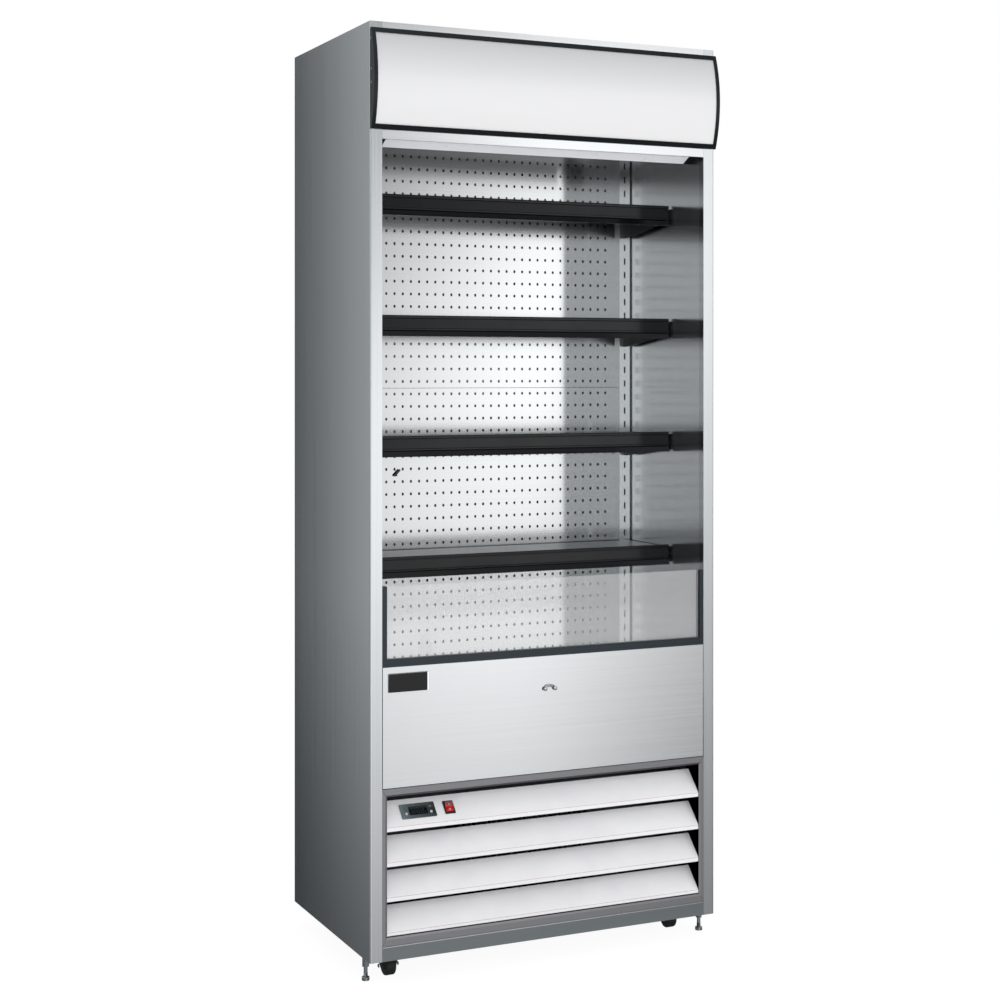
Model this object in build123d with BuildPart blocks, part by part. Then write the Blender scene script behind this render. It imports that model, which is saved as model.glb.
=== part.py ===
from build123d import *
import os
from math import cos, hypot, pi, radians, sin, sqrt

# Open multideck display fridge: an upright insulated cabinet with no door, four hung shelves,
# a curved light-box canopy, a pull-down night blind, a glass riser and a louvred machine bay.
# Millimetres, +Z up, front towards -Y. The origin is on the floor, under the middle of the
# outer box. "depth" is measured back from the cabinet's front plane, "height" from its base.

# ---------------------------------------------------------------- driving dimensions: cabinet
BODY_WIDTH = 810.0
BODY_DEPTH = 480.0
BODY_HEIGHT = 1905.0
FOOT_HEIGHT = 48.0
WALL = 26.5                 # side wall, seen from the front as a post
SHEET = 1.0                 # folded stainless sheet
BEND = 3.0                  # outside radius of the folded corner
POST_RETURN = 18.0          # the post's inward return along the opening
FIT = 0.2                   # gap between flat pieces that are fastened face to face
REAR_FOAM = 40.0
TOP_FOAM = 45.0
FLOOR_FOAM = 38.0
TOP_FLANGE = 20.0
VENT_LENGTH = 110.0         # breathing slots in the back sheet
VENT_TALL = 8.0
VENT_ROWS = 7
VENT_COLUMNS = 3
VENT_ROW_PITCH = 32.0
VENT_COLUMN_PITCH = 190.0

# ---------------------------------------------------------------- canopy and header
CANOPY_BELOW_TOP = 14.0     # canopy's top edge below the cabinet's top
CANOPY_TALL = 205.0
CANOPY_BULGE = 26.0         # how far the lens stands out at mid height
CANOPY_EDGE = 8.0           # how far it stands out at its top and bottom edge
CANOPY_RAIL = 10.0
CANOPY_RIM = 8.0
CANOPY_RIM_T = 2.0
CAP_T = 3.0
LENS_T = 2.5
TRAY_T = 0.8
TRAY_FLANGE = 4.0
LED_HEIGHT = 12.0
LED_T = 2.6
HEADER_BELOW_CANOPY = 18.0  # header's lower edge below the canopy's
HEADER_HEM = 4.0

# ---------------------------------------------------------------- air duct and ceiling
DUCT_DEEP = 94.4            # air duct between the perforated back panels and its rear wall
PANEL_FOLD = 14.0
SEAM_OVER_SHELF = 99.0      # panel seam above the second shelf
SEAM_GAP = 1.0
CEILING_BELOW_TOP = 160.0
CEILING_FRONT = 60.0
OUTLET_FRONT = 80.0
OUTLET_BACK = 150.0
OUTLET_SIDE = 38.5          # from the side liner to the outlet's end
OUTLET_DEEP = 16.0
OUTLET_LIP = 3.0
OUTLET_WALL = 2.0
OUTLET_COLUMNS = 14
OUTLET_ROWS = 3
RETURN_SIDE = 78.5          # from the side liner to the return mouth's end
RETURN_OVER_FLOOR = 11.0
RETURN_BELOW_DECK = 12.0

# ---------------------------------------------------------------- shelves
SHELF_OVER_GLASS = 44.0     # top of the lowest ticket strip above the glass
TOP_SHELF_ROOM = 96.0       # from the top ticket strip up to the header
SHELF_COUNT = 4
SHELF_DEEP = 179.6
SHELF_SIDE_GAP = 5.5
SHELF_T = 1.2
SHELF_DROP = 6.0            # plate top below the strip's top lip
SHELF_SIDE_FLANGE = 20.0
SHELF_FRONT_FLANGE = 34.0
SHELF_REAR_FLANGE = 14.0
SHELF_REAR_GAP = 2.0
UPRIGHT_WIDTH = 27.0
UPRIGHT_DEEP = 13.0
UPRIGHT_T = 1.5
UPRIGHT_SIDE_GAP = 3.5
UPRIGHT_OVER_DECK = 10.0
UPRIGHT_BELOW_CEILING = 10.0
SLOT_PITCH = 32.0
SLOT_HEIGHT = 14.6
SLOT_WIDTH = 4.0
SLOT_BELOW_SHELF = 20.0     # the upper hook's slot centre below the strip's top
BRACKET_T = 2.5
BRACKET_CLEAR = 8.2         # from the shelf's front flange to the bracket's nose
BRACKET_NOSE = 34.0
BRACKET_LEG = 54.0
HOOK_HEIGHT = 10.0
HOOK_REACH = 5.0
STRIP_SECTION = [           # ticket strip, as (out, up) from its top rear corner
    (0.0, 0.0), (-3.6, 0.0), (-4.6, -2.0), (-4.6, -6.0), (-2.6, -7.4), (-3.2, -27.5),
    (-4.8, -28.6), (-4.8, -31.4), (-2.4, -32.6), (-9.4, -45.0), (-6.4, -45.0), (0.0, -35.0),
]

# ---------------------------------------------------------------- well, deck and front
MACHINE_TOP = 349.5
DECK = 470.0
DECK_T = 1.2
DECK_GAP = 1.5
DECK_SLOT_WEB = 12.0        # metal left between two slots of a row
DECK_SLOT_WIDTH = 8.0
DECK_SLOT_COLUMNS = 12
DECK_SLOT_ROWS = 2
FRONT_PANEL_TOP = 595.5
PANEL_GAP = 1.5
PANEL_FLANGE = 12.0
CORE_T = 23.0
GLASS_TALL = 164.0
GLASS_T = 5.0
GLASS_DEPTH = 4.5
CHANNEL_GAP = 0.5
CHANNEL_HEIGHT = 16.0
CHANNEL_SIDE = 10.5
CHANNEL_DEEP = 14.0
CHANNEL_FLOOR = 2.0
GLASS_CLEAR = 0.2

# ---------------------------------------------------------------- grille and base
BASE_RAIL = 30.0
BASE_T = 1.5
GRILLE_GAP = 0.3
GRILLE_TOP_GAP = 0.5
GRILLE_SIDE = 11.0
GRILLE_TOP_BORDER = 16.6
GRILLE_BOTTOM_BORDER = 17.0
GRILLE_DEEP = 12.0
GRILLE_BEVEL = 4.0
GRILLE_CHEEK = 1.6
GRILLE_CHEEK_BACK = 58.0
LOUVRE_COUNT = 4
LOUVRE_BELOW_TOP = 87.8     # lower edge of the top blade's lip, below the surround's top
LOUVRE_LIP = 9.0
LOUVRE_FRONT = 3.2
LOUVRE_BACK = 46.0
LOUVRE_RISE = 53.0
LOUVRE_T = 1.2
LOUVRE_HEM = 9.0

# ---------------------------------------------------------------- controls on the top blade
CONTROLLER_SIDE = 88.0      # from the side liner to the thermostat's middle
CONTROLLER_ALONG = 31.0     # distance up the blade's slope, from the lip's fold
CONTROLLER_WIDTH = 77.0
CONTROLLER_TALL = 34.0
CONTROLLER_PROUD = 2.5
CONTROLLER_CORNER = 2.5
CONTROLLER_BODY_WIDTH = 70.0
CONTROLLER_BODY_TALL = 28.0
CONTROLLER_BODY_DEEP = 40.0
CUTOUT_CLEAR = 0.3
WINDOW_WIDTH = 41.0
WINDOW_TALL = 20.0
WINDOW_RECESS = 0.8
WINDOW_CORNER = 1.5
KEY_SPREAD = 27.5
KEY_RISE = 6.2
KEY_RADIUS = 2.9
KEY_CLEAR = 0.3
KEY_PROUD = 1.0
KEY_DEEP = 2.4
KEY_TRAVEL = 0.6
SWITCH_BESIDE = 69.5        # from the thermostat's middle to the switch's
SWITCH_WIDTH = 23.4
SWITCH_TALL = 30.5
SWITCH_PROUD = 1.5
SWITCH_CORNER = 1.5
SWITCH_BODY_WIDTH = 20.5
SWITCH_BODY_TALL = 27.5
SWITCH_BODY_DEEP = 24.0
ROCKER_WIDTH = 16.6
ROCKER_TALL = 22.4
ROCKER_CLEAR = 0.6
ROCKER_WELL = 11.0
ROCKER_TILT = 8.0           # degrees each side of level
ROCKER_AXIS_BELOW = 2.0
ROCKER_THICK = 5.0
ROCKER_PIN = 1.2
PIN_CLEAR = 0.05

# ---------------------------------------------------------------- night blind and lamp
ROLLER_DEPTH = 29.0
ROLLER_OVER_HEADER = 44.0   # roller's axis above the header's lower edge
ROLLER_RADIUS = 17.0
ROLLER_PIN = 4.0
ROLLER_END_GAP = 2.0
BRACKET_BLOCK = 19.0        # width of the moulded end bracket, out from the side liner
BLIND_CLEAR = 0.3
BLIND_T = 0.5
BAR_OVER_HEADER = 10.0      # middle of the pull bar, wound up
BAR_DEEP = 9.0
BAR_TALL = 14.0
BAR_END_CLEAR = 3.0
BAR_CORNER = 2.0
LAMP_FRONT = 30.0
LAMP_BACK = 55.0
LAMP_FACE_TALL = 13.0       # height of the slanted face, from its back edge to its front edge
LAMP_BELOW_HEADER = 10.0
LAMP_BODY_BACK = 72.0
LAMP_BODY_TALL = 34.0
DIFFUSER_T = 2.0
CATCH_BELOW_TOP = 68.5      # below the front panel's top
CATCH_WIDTH = 33.0
CATCH_TALL = 9.0
CATCH_T = 2.0
CATCH_SCREW_SPREAD = 12.0
CATCH_SCREW_RADIUS = 2.6
CATCH_HOOK_WIDTH = 12.0
CATCH_HOOK_OUT = 6.0

# ---------------------------------------------------------------- feet and casters
FOOT_INSET_X = 9.3
FOOT_INSET_Y = 49.0
FOOT_DISC = 8.0
FOOT_DISC_T = 7.6
FOOT_STEM = 4.0
FOOT_STEM_IN = 18.0         # stem inside the base
NUT_FLATS = 13.0
NUT_T = 20.0                # long weld nut under the base
CASTER_INSET_X = 62.0
CASTER_DEPTH = 75.0
CASTER_TRAIL = 17.5
REAR_WHEEL_FROM_BACK = 60.0
WHEEL_HEADROOM = 6.0        # crown and running gaps over a wheel, under the base
WHEEL_WIDTH = 22.0
WHEEL_TREAD_ROUND = 4.0
WHEEL_LIFT = 1.0            # the front wheels clear the floor when the feet are down
AXLE_RADIUS = 3.0
CHEEK_GAP = 0.7
FORK_TOP_WIDTH = 42.0
FORK_TOP_LENGTH = 46.0
FORK_LOW_WIDTH = 29.0
FORK_LOW_LENGTH = 26.0
FORK_BELOW_AXLE = 7.0
FORK_GAP = 0.3
STEM_RADIUS = 5.0
STEM_LENGTH = 12.0
BOSS_RADIUS = 13.0

# ---------------------------------------------------------------- refrigeration
COIL_HALF_WIDTH = 150.0
COIL_X = -20.0
COIL_BOTTOM = 16.0
COIL_BELOW_TOP = 87.5
COIL_DEPTH = 80.0
COIL_DEEP = 52.0
COIL_FINS = 25
FIN_GAP_SHARE = 0.55
COIL_TUBE = 4.0
COIL_TUBE_ROWS = 5
SHROUD_DEEP = 24.0
SHROUD_T = 1.5
FAN_RADIUS = 98.0
FAN_CLEAR = 3.0
FAN_HUB = 24.0
FAN_DEEP = 18.0
FAN_BLADES = 5
BLADE_CHORD = 46.0
BLADE_T = 1.8
BLADE_ROOT_PITCH = 50.0     # degrees between the blade and the fan's axis
BLADE_TIP_PITCH = 70.0
FAN_SHAFT = 4.0
MOTOR_RADIUS = 36.0
MOTOR_LENGTH = 48.0
STRUT = 7.0
COMPRESSOR_SIDE = 143.5
COMPRESSOR_FROM_BACK = 150.0
COMPRESSOR_RADIUS = 78.0
COMPRESSOR_HEIGHT = 185.0
COMPRESSOR_LIFT = 14.0
COMPRESSOR_OVAL = 66.0      # half of the pot's short axis
COMPRESSOR_DOME = 39.0
COMPRESSOR_PLATE_WIDTH = 180.0
COMPRESSOR_PLATE_LENGTH = 156.0
COMPRESSOR_FEET_ACROSS = 160.0
COMPRESSOR_FEET_ALONG = 132.0
TRAY_SIDE = 143.5
TRAY_FROM_BACK = 150.0
TRAY_WIDTH = 240.0
TRAY_LENGTH = 200.0
TRAY_TALL = 34.0
TRAY_WALL = 2.0
EVAP_SIDE = 88.5
EVAP_OVER_BLOWER = 60.0
EVAP_TALL = 160.0
EVAP_DEEP = 70.0
EVAP_FINS = 29
BLOWER_OVER_DECK = 30.0
BLOWER_RADIUS = 28.0
BLOWER_SIDE = 90.0          # from the coil's end to the rotor's end
BLOWER_END_GAP = 8.0
BLOWER_SLAT = 7.0
BLOWER_SLAT_T = 1.2
BLOWER_SLAT_LEAN = 35.0     # degrees
BLOWER_SLAT_INSET = 5.0
BLOWER_BLADES = 16
BLOWER_SHAFT = 4.0
BLOWER_PLATE = 2.0

# ---------------------------------------------------------------- probe on the back panel
PROBE_SIDE = 165.5
PROBE_OVER_SHELF = 166.0
PROBE_RADIUS = 2.6
PROBE_LENGTH = 19.0

# ---------------------------------------------------------------- worked-out reference places
FRONT_Y = CANOPY_BULGE - (BODY_DEPTH + CANOPY_BULGE) / 2
HALF_WIDTH = BODY_WIDTH / 2
HALF_OPENING = HALF_WIDTH - WALL
REAR_PANEL = BODY_DEPTH - SHEET - FIT           # depth of the back sheet's outer face
REAR_FOAM_BACK = REAR_PANEL - SHEET - FIT
REAR_FOAM_FRONT = REAR_FOAM_BACK - REAR_FOAM
REAR_LINER = REAR_FOAM_FRONT - FIT - SHEET      # depth of the duct's rear wall
TOP_FOAM_TOP = BODY_HEIGHT - SHEET - FIT
TOP_FOAM_LOW = TOP_FOAM_TOP - TOP_FOAM
FLOOR_PAN = MACHINE_TOP + SHEET
FLOOR_FOAM_LOW = FLOOR_PAN + SHEET + FIT
FLOOR_FOAM_TOP = FLOOR_FOAM_LOW + FLOOR_FOAM
WELL_FLOOR = FLOOR_FOAM_TOP + FIT + SHEET       # height of the well's floor
CORE_FRONT = SHEET + FIT
CORE_BACK = CORE_FRONT + CORE_T
WELL_FRONT = CORE_BACK + FIT                    # depth of the well's front wall
WALL_FOAM_FRONT = POST_RETURN + FIT + SHEET + FIT
LINER_FOLD = 8.0
ANY = 400.0                                     # longer than any cut it is used for

CANOPY_TOP = BODY_HEIGHT - CANOPY_BELOW_TOP
CANOPY_BOTTOM = CANOPY_TOP - CANOPY_TALL
HEADER_BOTTOM = CANOPY_BOTTOM - HEADER_BELOW_CANOPY
CEILING = BODY_HEIGHT - CEILING_BELOW_TOP
OUTLET_HALF_WIDTH = HALF_OPENING - OUTLET_SIDE
RETURN_HALF_WIDTH = HALF_OPENING - RETURN_SIDE
RETURN_BOTTOM = WELL_FLOOR + RETURN_OVER_FLOOR
RETURN_TOP = DECK - RETURN_BELOW_DECK

DUCT_PANEL = REAR_LINER - DUCT_DEEP - SHEET     # depth of the perforated back panels
UPRIGHT_FACE = DUCT_PANEL - FIT - UPRIGHT_DEEP
UPRIGHT_CENTRE = HALF_OPENING - UPRIGHT_SIDE_GAP - UPRIGHT_WIDTH / 2
UPRIGHT_BOTTOM = DECK + UPRIGHT_OVER_DECK
UPRIGHT_TOP = CEILING - UPRIGHT_BELOW_CEILING

CHANNEL_BOTTOM = FRONT_PANEL_TOP + CHANNEL_GAP
GLASS_TOP = CHANNEL_BOTTOM + GLASS_TALL
CATCH_HEIGHT = FRONT_PANEL_TOP - CATCH_BELOW_TOP
SHELF_FIRST = GLASS_TOP + SHELF_OVER_GLASS      # top of the lowest ticket strip
SHELF_RANGE = HEADER_BOTTOM - TOP_SHELF_ROOM - SHELF_FIRST
SHELF_PITCH = SLOT_PITCH * round(SHELF_RANGE / (SHELF_COUNT - 1) / SLOT_PITCH)
SHELF_FRONT = UPRIGHT_FACE - SHELF_REAR_GAP - SHELF_DEEP - FIT
SHELF_HALF_WIDTH = HALF_OPENING - SHELF_SIDE_GAP
PANEL_SEAM = SHELF_FIRST + SHELF_PITCH + SEAM_OVER_SHELF
PROBE_X = PROBE_SIDE - HALF_OPENING
PROBE_HEIGHT = SHELF_FIRST + PROBE_OVER_SHELF

GRILLE_BOTTOM = BASE_RAIL + GRILLE_GAP
GRILLE_TOP = MACHINE_TOP - GRILLE_TOP_GAP
LOUVRE_TOP_LIP = GRILLE_TOP - LOUVRE_BELOW_TOP  # lower edge of the top blade's lip
LOUVRE_LOW_LIP = GRILLE_BOTTOM + GRILLE_BOTTOM_BORDER + GRILLE_GAP
LOUVRE_PITCH = (LOUVRE_TOP_LIP - LOUVRE_LOW_LIP) / (LOUVRE_COUNT - 1)
CONTROLLER_X = CONTROLLER_SIDE - HALF_OPENING
SWITCH_X = CONTROLLER_X + SWITCH_BESIDE

ROLLER_HEIGHT = HEADER_BOTTOM + ROLLER_OVER_HEADER
BAR_HEIGHT = HEADER_BOTTOM + BAR_OVER_HEADER
LAMP_LOW = HEADER_BOTTOM - LAMP_BELOW_HEADER
LAMP_TOP = LAMP_LOW + LAMP_FACE_TALL
LAMP_BODY_TOP = LAMP_LOW + LAMP_BODY_TALL

WHEEL_RADIUS = (FOOT_HEIGHT - WHEEL_HEADROOM) / 2
REAR_WHEEL_DEPTH = BODY_DEPTH - REAR_WHEEL_FROM_BACK
COIL_TOP = MACHINE_TOP - COIL_BELOW_TOP
COMPRESSOR_X = HALF_OPENING - COMPRESSOR_SIDE
COMPRESSOR_DEPTH = BODY_DEPTH - COMPRESSOR_FROM_BACK
TRAY_X = TRAY_SIDE - HALF_OPENING
TRAY_DEPTH = BODY_DEPTH - TRAY_FROM_BACK
BLOWER_HEIGHT = DECK + BLOWER_OVER_DECK
EVAP_HALF_WIDTH = HALF_OPENING - EVAP_SIDE
EVAP_BOTTOM = BLOWER_HEIGHT + EVAP_OVER_BLOWER
EVAP_TOP = EVAP_BOTTOM + EVAP_TALL
BLOWER_HALF = EVAP_HALF_WIDTH - BLOWER_SIDE


def depth_y(depth):
    """Y of a place this far behind the cabinet's front plane."""
    return FRONT_Y + depth


def height_z(height):
    """Z of a place this far above the cabinet's base."""
    return FOOT_HEIGHT + height


def block(x_pair, depth_pair, height_pair, mode=Mode.ADD):
    """A box between two x values, two depths and two heights, for use in a part block."""
    x_low, x_high = sorted(x_pair)
    y_low, y_high = sorted(depth_y(depth) for depth in depth_pair)
    z_low, z_high = sorted(height_z(height) for height in height_pair)
    centre = ((x_low + x_high) / 2, (y_low + y_high) / 2, (z_low + z_high) / 2)
    with Locations(centre):
        Box(x_high - x_low, y_high - y_low, z_high - z_low, mode=mode)


def keep(piece, label):
    """Names a finished piece and writes its file."""
    piece.part.label = label
    export_step(piece.part, f"parts/{label}.step")


# ================================================================ cabinet shell
def side_skin(side):
    """Outer side sheet, folded round the front into the post and round the back."""
    middle = (FRONT_Y + depth_y(BODY_DEPTH)) / 2
    with BuildPart() as skin:
        with BuildSketch(Plane.XY.offset(height_z(0))):
            with Locations((side * (HALF_WIDTH - WALL), middle)):
                RectangleRounded(2 * WALL, BODY_DEPTH, BEND)
                hollow = (2 * (WALL - SHEET), BODY_DEPTH - 2 * SHEET)
                RectangleRounded(*hollow, BEND - SHEET, mode=Mode.SUBTRACT)
            with Locations((side * (HALF_OPENING - WALL / 2), middle)):
                Rectangle(WALL, BODY_DEPTH, mode=Mode.SUBTRACT)
            with Locations((side * (HALF_OPENING + SHEET / 2), depth_y(POST_RETURN / 2))):
                Rectangle(SHEET, POST_RETURN)
        extrude(amount=BODY_HEIGHT)
    return skin


def cabinet_liners():
    """Polished inner side sheets with a hidden front fold, and the duct's rear wall."""
    liner_front = POST_RETURN + FIT
    liner_back = REAR_FOAM_FRONT - FIT
    with BuildPart() as liners:
        for side in (-1, 1):
            inner = side * HALF_OPENING
            block((inner, inner + side * SHEET), (liner_front, liner_back), (FLOOR_PAN, TOP_FOAM_LOW - FIT))
            fold_height = (FLOOR_FOAM_LOW, TOP_FOAM_LOW - FIT)
            block((inner, inner + side * LINER_FOLD), (liner_front, liner_front + SHEET), fold_height)
        rear_half = HALF_OPENING - FIT
        rear_heights = (WELL_FLOOR + FIT, TOP_FOAM_LOW - FIT)
        block((-rear_half, rear_half), (REAR_LINER, REAR_LINER + SHEET), rear_heights)
    return liners


def foam_insulation():
    """Foamed-in-place slabs: two sides, rear, top, well floor and the front panel's core."""
    outer = HALF_WIDTH - SHEET - FIT
    with BuildPart() as foam:
        for side in (-1, 1):
            x_pair = (side * (HALF_OPENING + SHEET + FIT), side * outer)
            block(x_pair, (WALL_FOAM_FRONT, REAR_FOAM_FRONT - FIT), (FLOOR_FOAM_LOW, TOP_FOAM_LOW - FIT))
        rear_heights = (FLOOR_FOAM_LOW, TOP_FOAM_LOW - FIT)
        block((-outer, outer), (REAR_FOAM_FRONT, REAR_FOAM_BACK), rear_heights)
        top_half = outer - SHEET - FIT
        top_depths = (TOP_FLANGE + SHEET + 2 * FIT, REAR_FOAM_BACK - SHEET - 2 * FIT)
        block((-top_half, top_half), top_depths, (TOP_FOAM_LOW, TOP_FOAM_TOP))
        floor_half = HALF_OPENING - 2 * FIT
        block((-floor_half, floor_half), (WELL_FRONT + SHEET, REAR_LINER), (FLOOR_FOAM_LOW, FLOOR_FOAM_TOP))
        core_half = HALF_OPENING - PANEL_GAP - SHEET - FIT
        core_heights = (FLOOR_FOAM_LOW, FRONT_PANEL_TOP - SHEET - FIT)
        block((-core_half, core_half), (CORE_FRONT, CORE_BACK), core_heights)
    return foam


def rear_panel():
    """Back sheet with rows of breathing slots over the machine bay."""
    half = HALF_WIDTH - BEND - FIT
    with BuildPart() as panel:
        heights = (BASE_RAIL + FIT, BODY_HEIGHT - TOP_FLANGE - FIT)
        block((-half, half), (REAR_PANEL - SHEET, REAR_PANEL), heights)
        with BuildSketch(Plane.XZ.offset(-depth_y(REAR_PANEL))):
            with Locations((0, height_z(MACHINE_TOP / 2))):
                with GridLocations(VENT_COLUMN_PITCH, VENT_ROW_PITCH, VENT_COLUMNS, VENT_ROWS):
                    Rectangle(VENT_LENGTH, VENT_TALL)
        extrude(amount=2 * SHEET, both=True, mode=Mode.SUBTRACT)
    return panel


def top_panel():
    """Downturned tray that closes the cabinet's top, with a tongue over each hollow post."""
    half = HALF_WIDTH - SHEET - FIT
    front = TOP_FLANGE + FIT
    back = REAR_PANEL
    low = BODY_HEIGHT - TOP_FLANGE
    with BuildPart() as panel:
        block((-half, half), (front, back), (low, BODY_HEIGHT))
        fillet(panel.edges().filter_by(Axis.Z).group_by(Axis.Y)[-1], BEND - SHEET)
        inner = (-half + SHEET, half - SHEET)
        block(inner, (front + SHEET, back - SHEET), (low - SHEET, BODY_HEIGHT - SHEET), mode=Mode.SUBTRACT)
        for side in (-1, 1):
            tongue = (side * (HALF_OPENING + SHEET + FIT), side * (half - BEND + SHEET))
            block(tongue, (SHEET + FIT, front + SHEET), (BODY_HEIGHT - SHEET, BODY_HEIGHT))
    return panel


def header_panel():
    """Front sheet behind the canopy; its top and bottom edges show as two bright strips."""
    half = HALF_OPENING - FIT
    with BuildPart() as header:
        with BuildSketch(Plane.YZ.offset(-half)):
            with BuildLine():
                Polyline(
                    (depth_y(0), height_z(HEADER_BOTTOM)),
                    (depth_y(HEADER_HEM), height_z(HEADER_BOTTOM)),
                    (depth_y(HEADER_HEM), height_z(HEADER_BOTTOM + SHEET)),
                    (depth_y(SHEET), height_z(HEADER_BOTTOM + SHEET)),
                    (depth_y(SHEET), height_z(BODY_HEIGHT - SHEET)),
                    (depth_y(TOP_FLANGE), height_z(BODY_HEIGHT - SHEET)),
                    (depth_y(TOP_FLANGE), height_z(BODY_HEIGHT)),
                    (depth_y(0), height_z(BODY_HEIGHT)),
                    close=True,
                )
            make_face()
        extrude(amount=2 * half)
    return header


# ================================================================ light-box canopy
CHORD_HALF = (CANOPY_TOP - CANOPY_BOTTOM) / 2
CANOPY_MIDDLE = (CANOPY_TOP + CANOPY_BOTTOM) / 2
SAGITTA = CANOPY_BULGE - CANOPY_EDGE
FACE_RADIUS = (CHORD_HALF**2 + SAGITTA**2) / (2 * SAGITTA)
CANOPY_BACK = -FIT                              # depth of the canopy's flat back


def face_depth(height, inset=0.0):
    """Depth of the canopy's curved face, or of a curve this far inside it, at a height."""
    radius = FACE_RADIUS - inset
    rise = height - CANOPY_MIDDLE
    return FACE_RADIUS - CANOPY_BULGE - sqrt(radius**2 - rise**2)


def face_point(height, inset=0.0):
    """The same place as a point of a sketch on the YZ plane."""
    return (depth_y(face_depth(height, inset)), height_z(height))


def face_arc(low, high, inset=0.0):
    """The curved face between two heights, as an arc in a sketch on the YZ plane."""
    middle = (low + high) / 2
    ThreePointArc(face_point(low, inset), face_point(middle, inset), face_point(high, inset))


def canopy_frame():
    """Black end caps with a curved rim, and the two extruded rails between them."""
    cap_inner = HALF_WIDTH - CAP_T
    with BuildPart() as frame:
        for side in (-1, 1):
            with BuildSketch(Plane.YZ.offset(side * HALF_WIDTH)):
                with BuildLine():
                    face_arc(CANOPY_BOTTOM, CANOPY_TOP)
                    Polyline(
                        face_point(CANOPY_TOP),
                        (depth_y(CANOPY_BACK), height_z(CANOPY_TOP)),
                        (depth_y(CANOPY_BACK), height_z(CANOPY_BOTTOM)),
                        face_point(CANOPY_BOTTOM),
                    )
                make_face()
            extrude(amount=-side * CAP_T)
            with BuildSketch(Plane.YZ.offset(side * cap_inner)):
                with BuildLine():
                    face_arc(CANOPY_BOTTOM, CANOPY_TOP)
                    Line(face_point(CANOPY_TOP), face_point(CANOPY_TOP, CANOPY_RIM_T))
                    face_arc(CANOPY_BOTTOM, CANOPY_TOP, CANOPY_RIM_T)
                    Line(face_point(CANOPY_BOTTOM, CANOPY_RIM_T), face_point(CANOPY_BOTTOM))
                make_face()
            extrude(amount=-side * (CANOPY_RIM - CAP_T))
        rail_half = HALF_WIDTH - CANOPY_RIM - FIT
        for low, high in (
            (CANOPY_BOTTOM, CANOPY_BOTTOM + CANOPY_RAIL),
            (CANOPY_TOP - CANOPY_RAIL, CANOPY_TOP),
        ):
            with BuildSketch(Plane.YZ.offset(-rail_half)):
                with BuildLine():
                    face_arc(low, high)
                    Polyline(
                        face_point(high),
                        (depth_y(CANOPY_BACK), height_z(high)),
                        (depth_y(CANOPY_BACK), height_z(low)),
                        face_point(low),
                    )
                make_face()
            extrude(amount=2 * rail_half)
    return frame


def canopy_lens():
    """Curved translucent sheet between the rails, its ends tucked behind the caps' rims."""
    half = HALF_WIDTH - CAP_T - FIT
    low = CANOPY_BOTTOM + CANOPY_RAIL + FIT
    high = CANOPY_TOP - CANOPY_RAIL - FIT
    outer = CANOPY_RIM_T + FIT
    inner = outer + LENS_T
    with BuildPart() as lens:
        with BuildSketch(Plane.YZ.offset(-half)):
            with BuildLine():
                face_arc(low, high, outer)
                Line(face_point(high, outer), face_point(high, inner))
                face_arc(low, high, inner)
                Line(face_point(low, inner), face_point(low, outer))
            make_face()
        extrude(amount=2 * half)
    return lens


def canopy_tray():
    """White reflector tray on the header, which carries the light strips."""
    half = HALF_WIDTH - CANOPY_RIM - FIT
    low = CANOPY_BOTTOM + CANOPY_RAIL + FIT
    high = CANOPY_TOP - CANOPY_RAIL - FIT
    with BuildPart() as tray:
        block((-half, half), (-FIT, -FIT - TRAY_FLANGE), (low, high))
        hollow = (-half + TRAY_T, half - TRAY_T)
        floor = -FIT - TRAY_T
        block(hollow, (floor, floor - TRAY_FLANGE), (low + TRAY_T, high - TRAY_T), mode=Mode.SUBTRACT)
    return tray


def canopy_lamps():
    """Two light strips along the tray."""
    half = HALF_WIDTH - CANOPY_RIM - FIT - TRAY_T - CANOPY_RIM
    back = -FIT - TRAY_T - FIT
    with BuildPart() as lamps:
        for height in (CANOPY_MIDDLE - CHORD_HALF / 3, CANOPY_MIDDLE + CHORD_HALF / 3):
            block((-half, half), (back, back - LED_T), (height - LED_HEIGHT / 2, height + LED_HEIGHT / 2))
    return lamps


# ================================================================ duct, ceiling, uprights
def duct_panels():
    """Lower and upper back panel in front of the air duct, with the return mouth."""
    half = HALF_OPENING - FIT
    folds = (DUCT_PANEL, DUCT_PANEL + PANEL_FOLD)
    with BuildPart() as panels:
        for low, high in (
            (WELL_FLOOR + FIT, PANEL_SEAM - SEAM_GAP / 2),
            (PANEL_SEAM + SEAM_GAP / 2, CEILING - FIT),
        ):
            block((-half, half), (DUCT_PANEL, DUCT_PANEL + SHEET), (low, high))
            for side in (-1, 1):
                block((side * half, side * (half - SHEET)), folds, (low, high))
        mouth = (RETURN_BOTTOM, RETURN_TOP)
        mouth_x = (-RETURN_HALF_WIDTH, RETURN_HALF_WIDTH)
        block(mouth_x, (DUCT_PANEL - SHEET, DUCT_PANEL + 2 * SHEET), mouth, mode=Mode.SUBTRACT)
    return panels


def ceiling_panel():
    """Duct floor over the shelves, turned up at the front, with the outlet's opening."""
    half = HALF_OPENING - FIT
    with BuildPart() as ceiling:
        back = DUCT_PANEL + SHEET
        block((-half, half), (CEILING_FRONT, back), (CEILING, CEILING + SHEET))
        block((-half, half), (CEILING_FRONT, CEILING_FRONT + SHEET), (CEILING, TOP_FOAM_LOW - FIT))
        outlet_x = (-OUTLET_HALF_WIDTH, OUTLET_HALF_WIDTH)
        cut_heights = (CEILING - SHEET, CEILING + 2 * SHEET)
        block(outlet_x, (OUTLET_FRONT, OUTLET_BACK), cut_heights, mode=Mode.SUBTRACT)
    return ceiling


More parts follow.
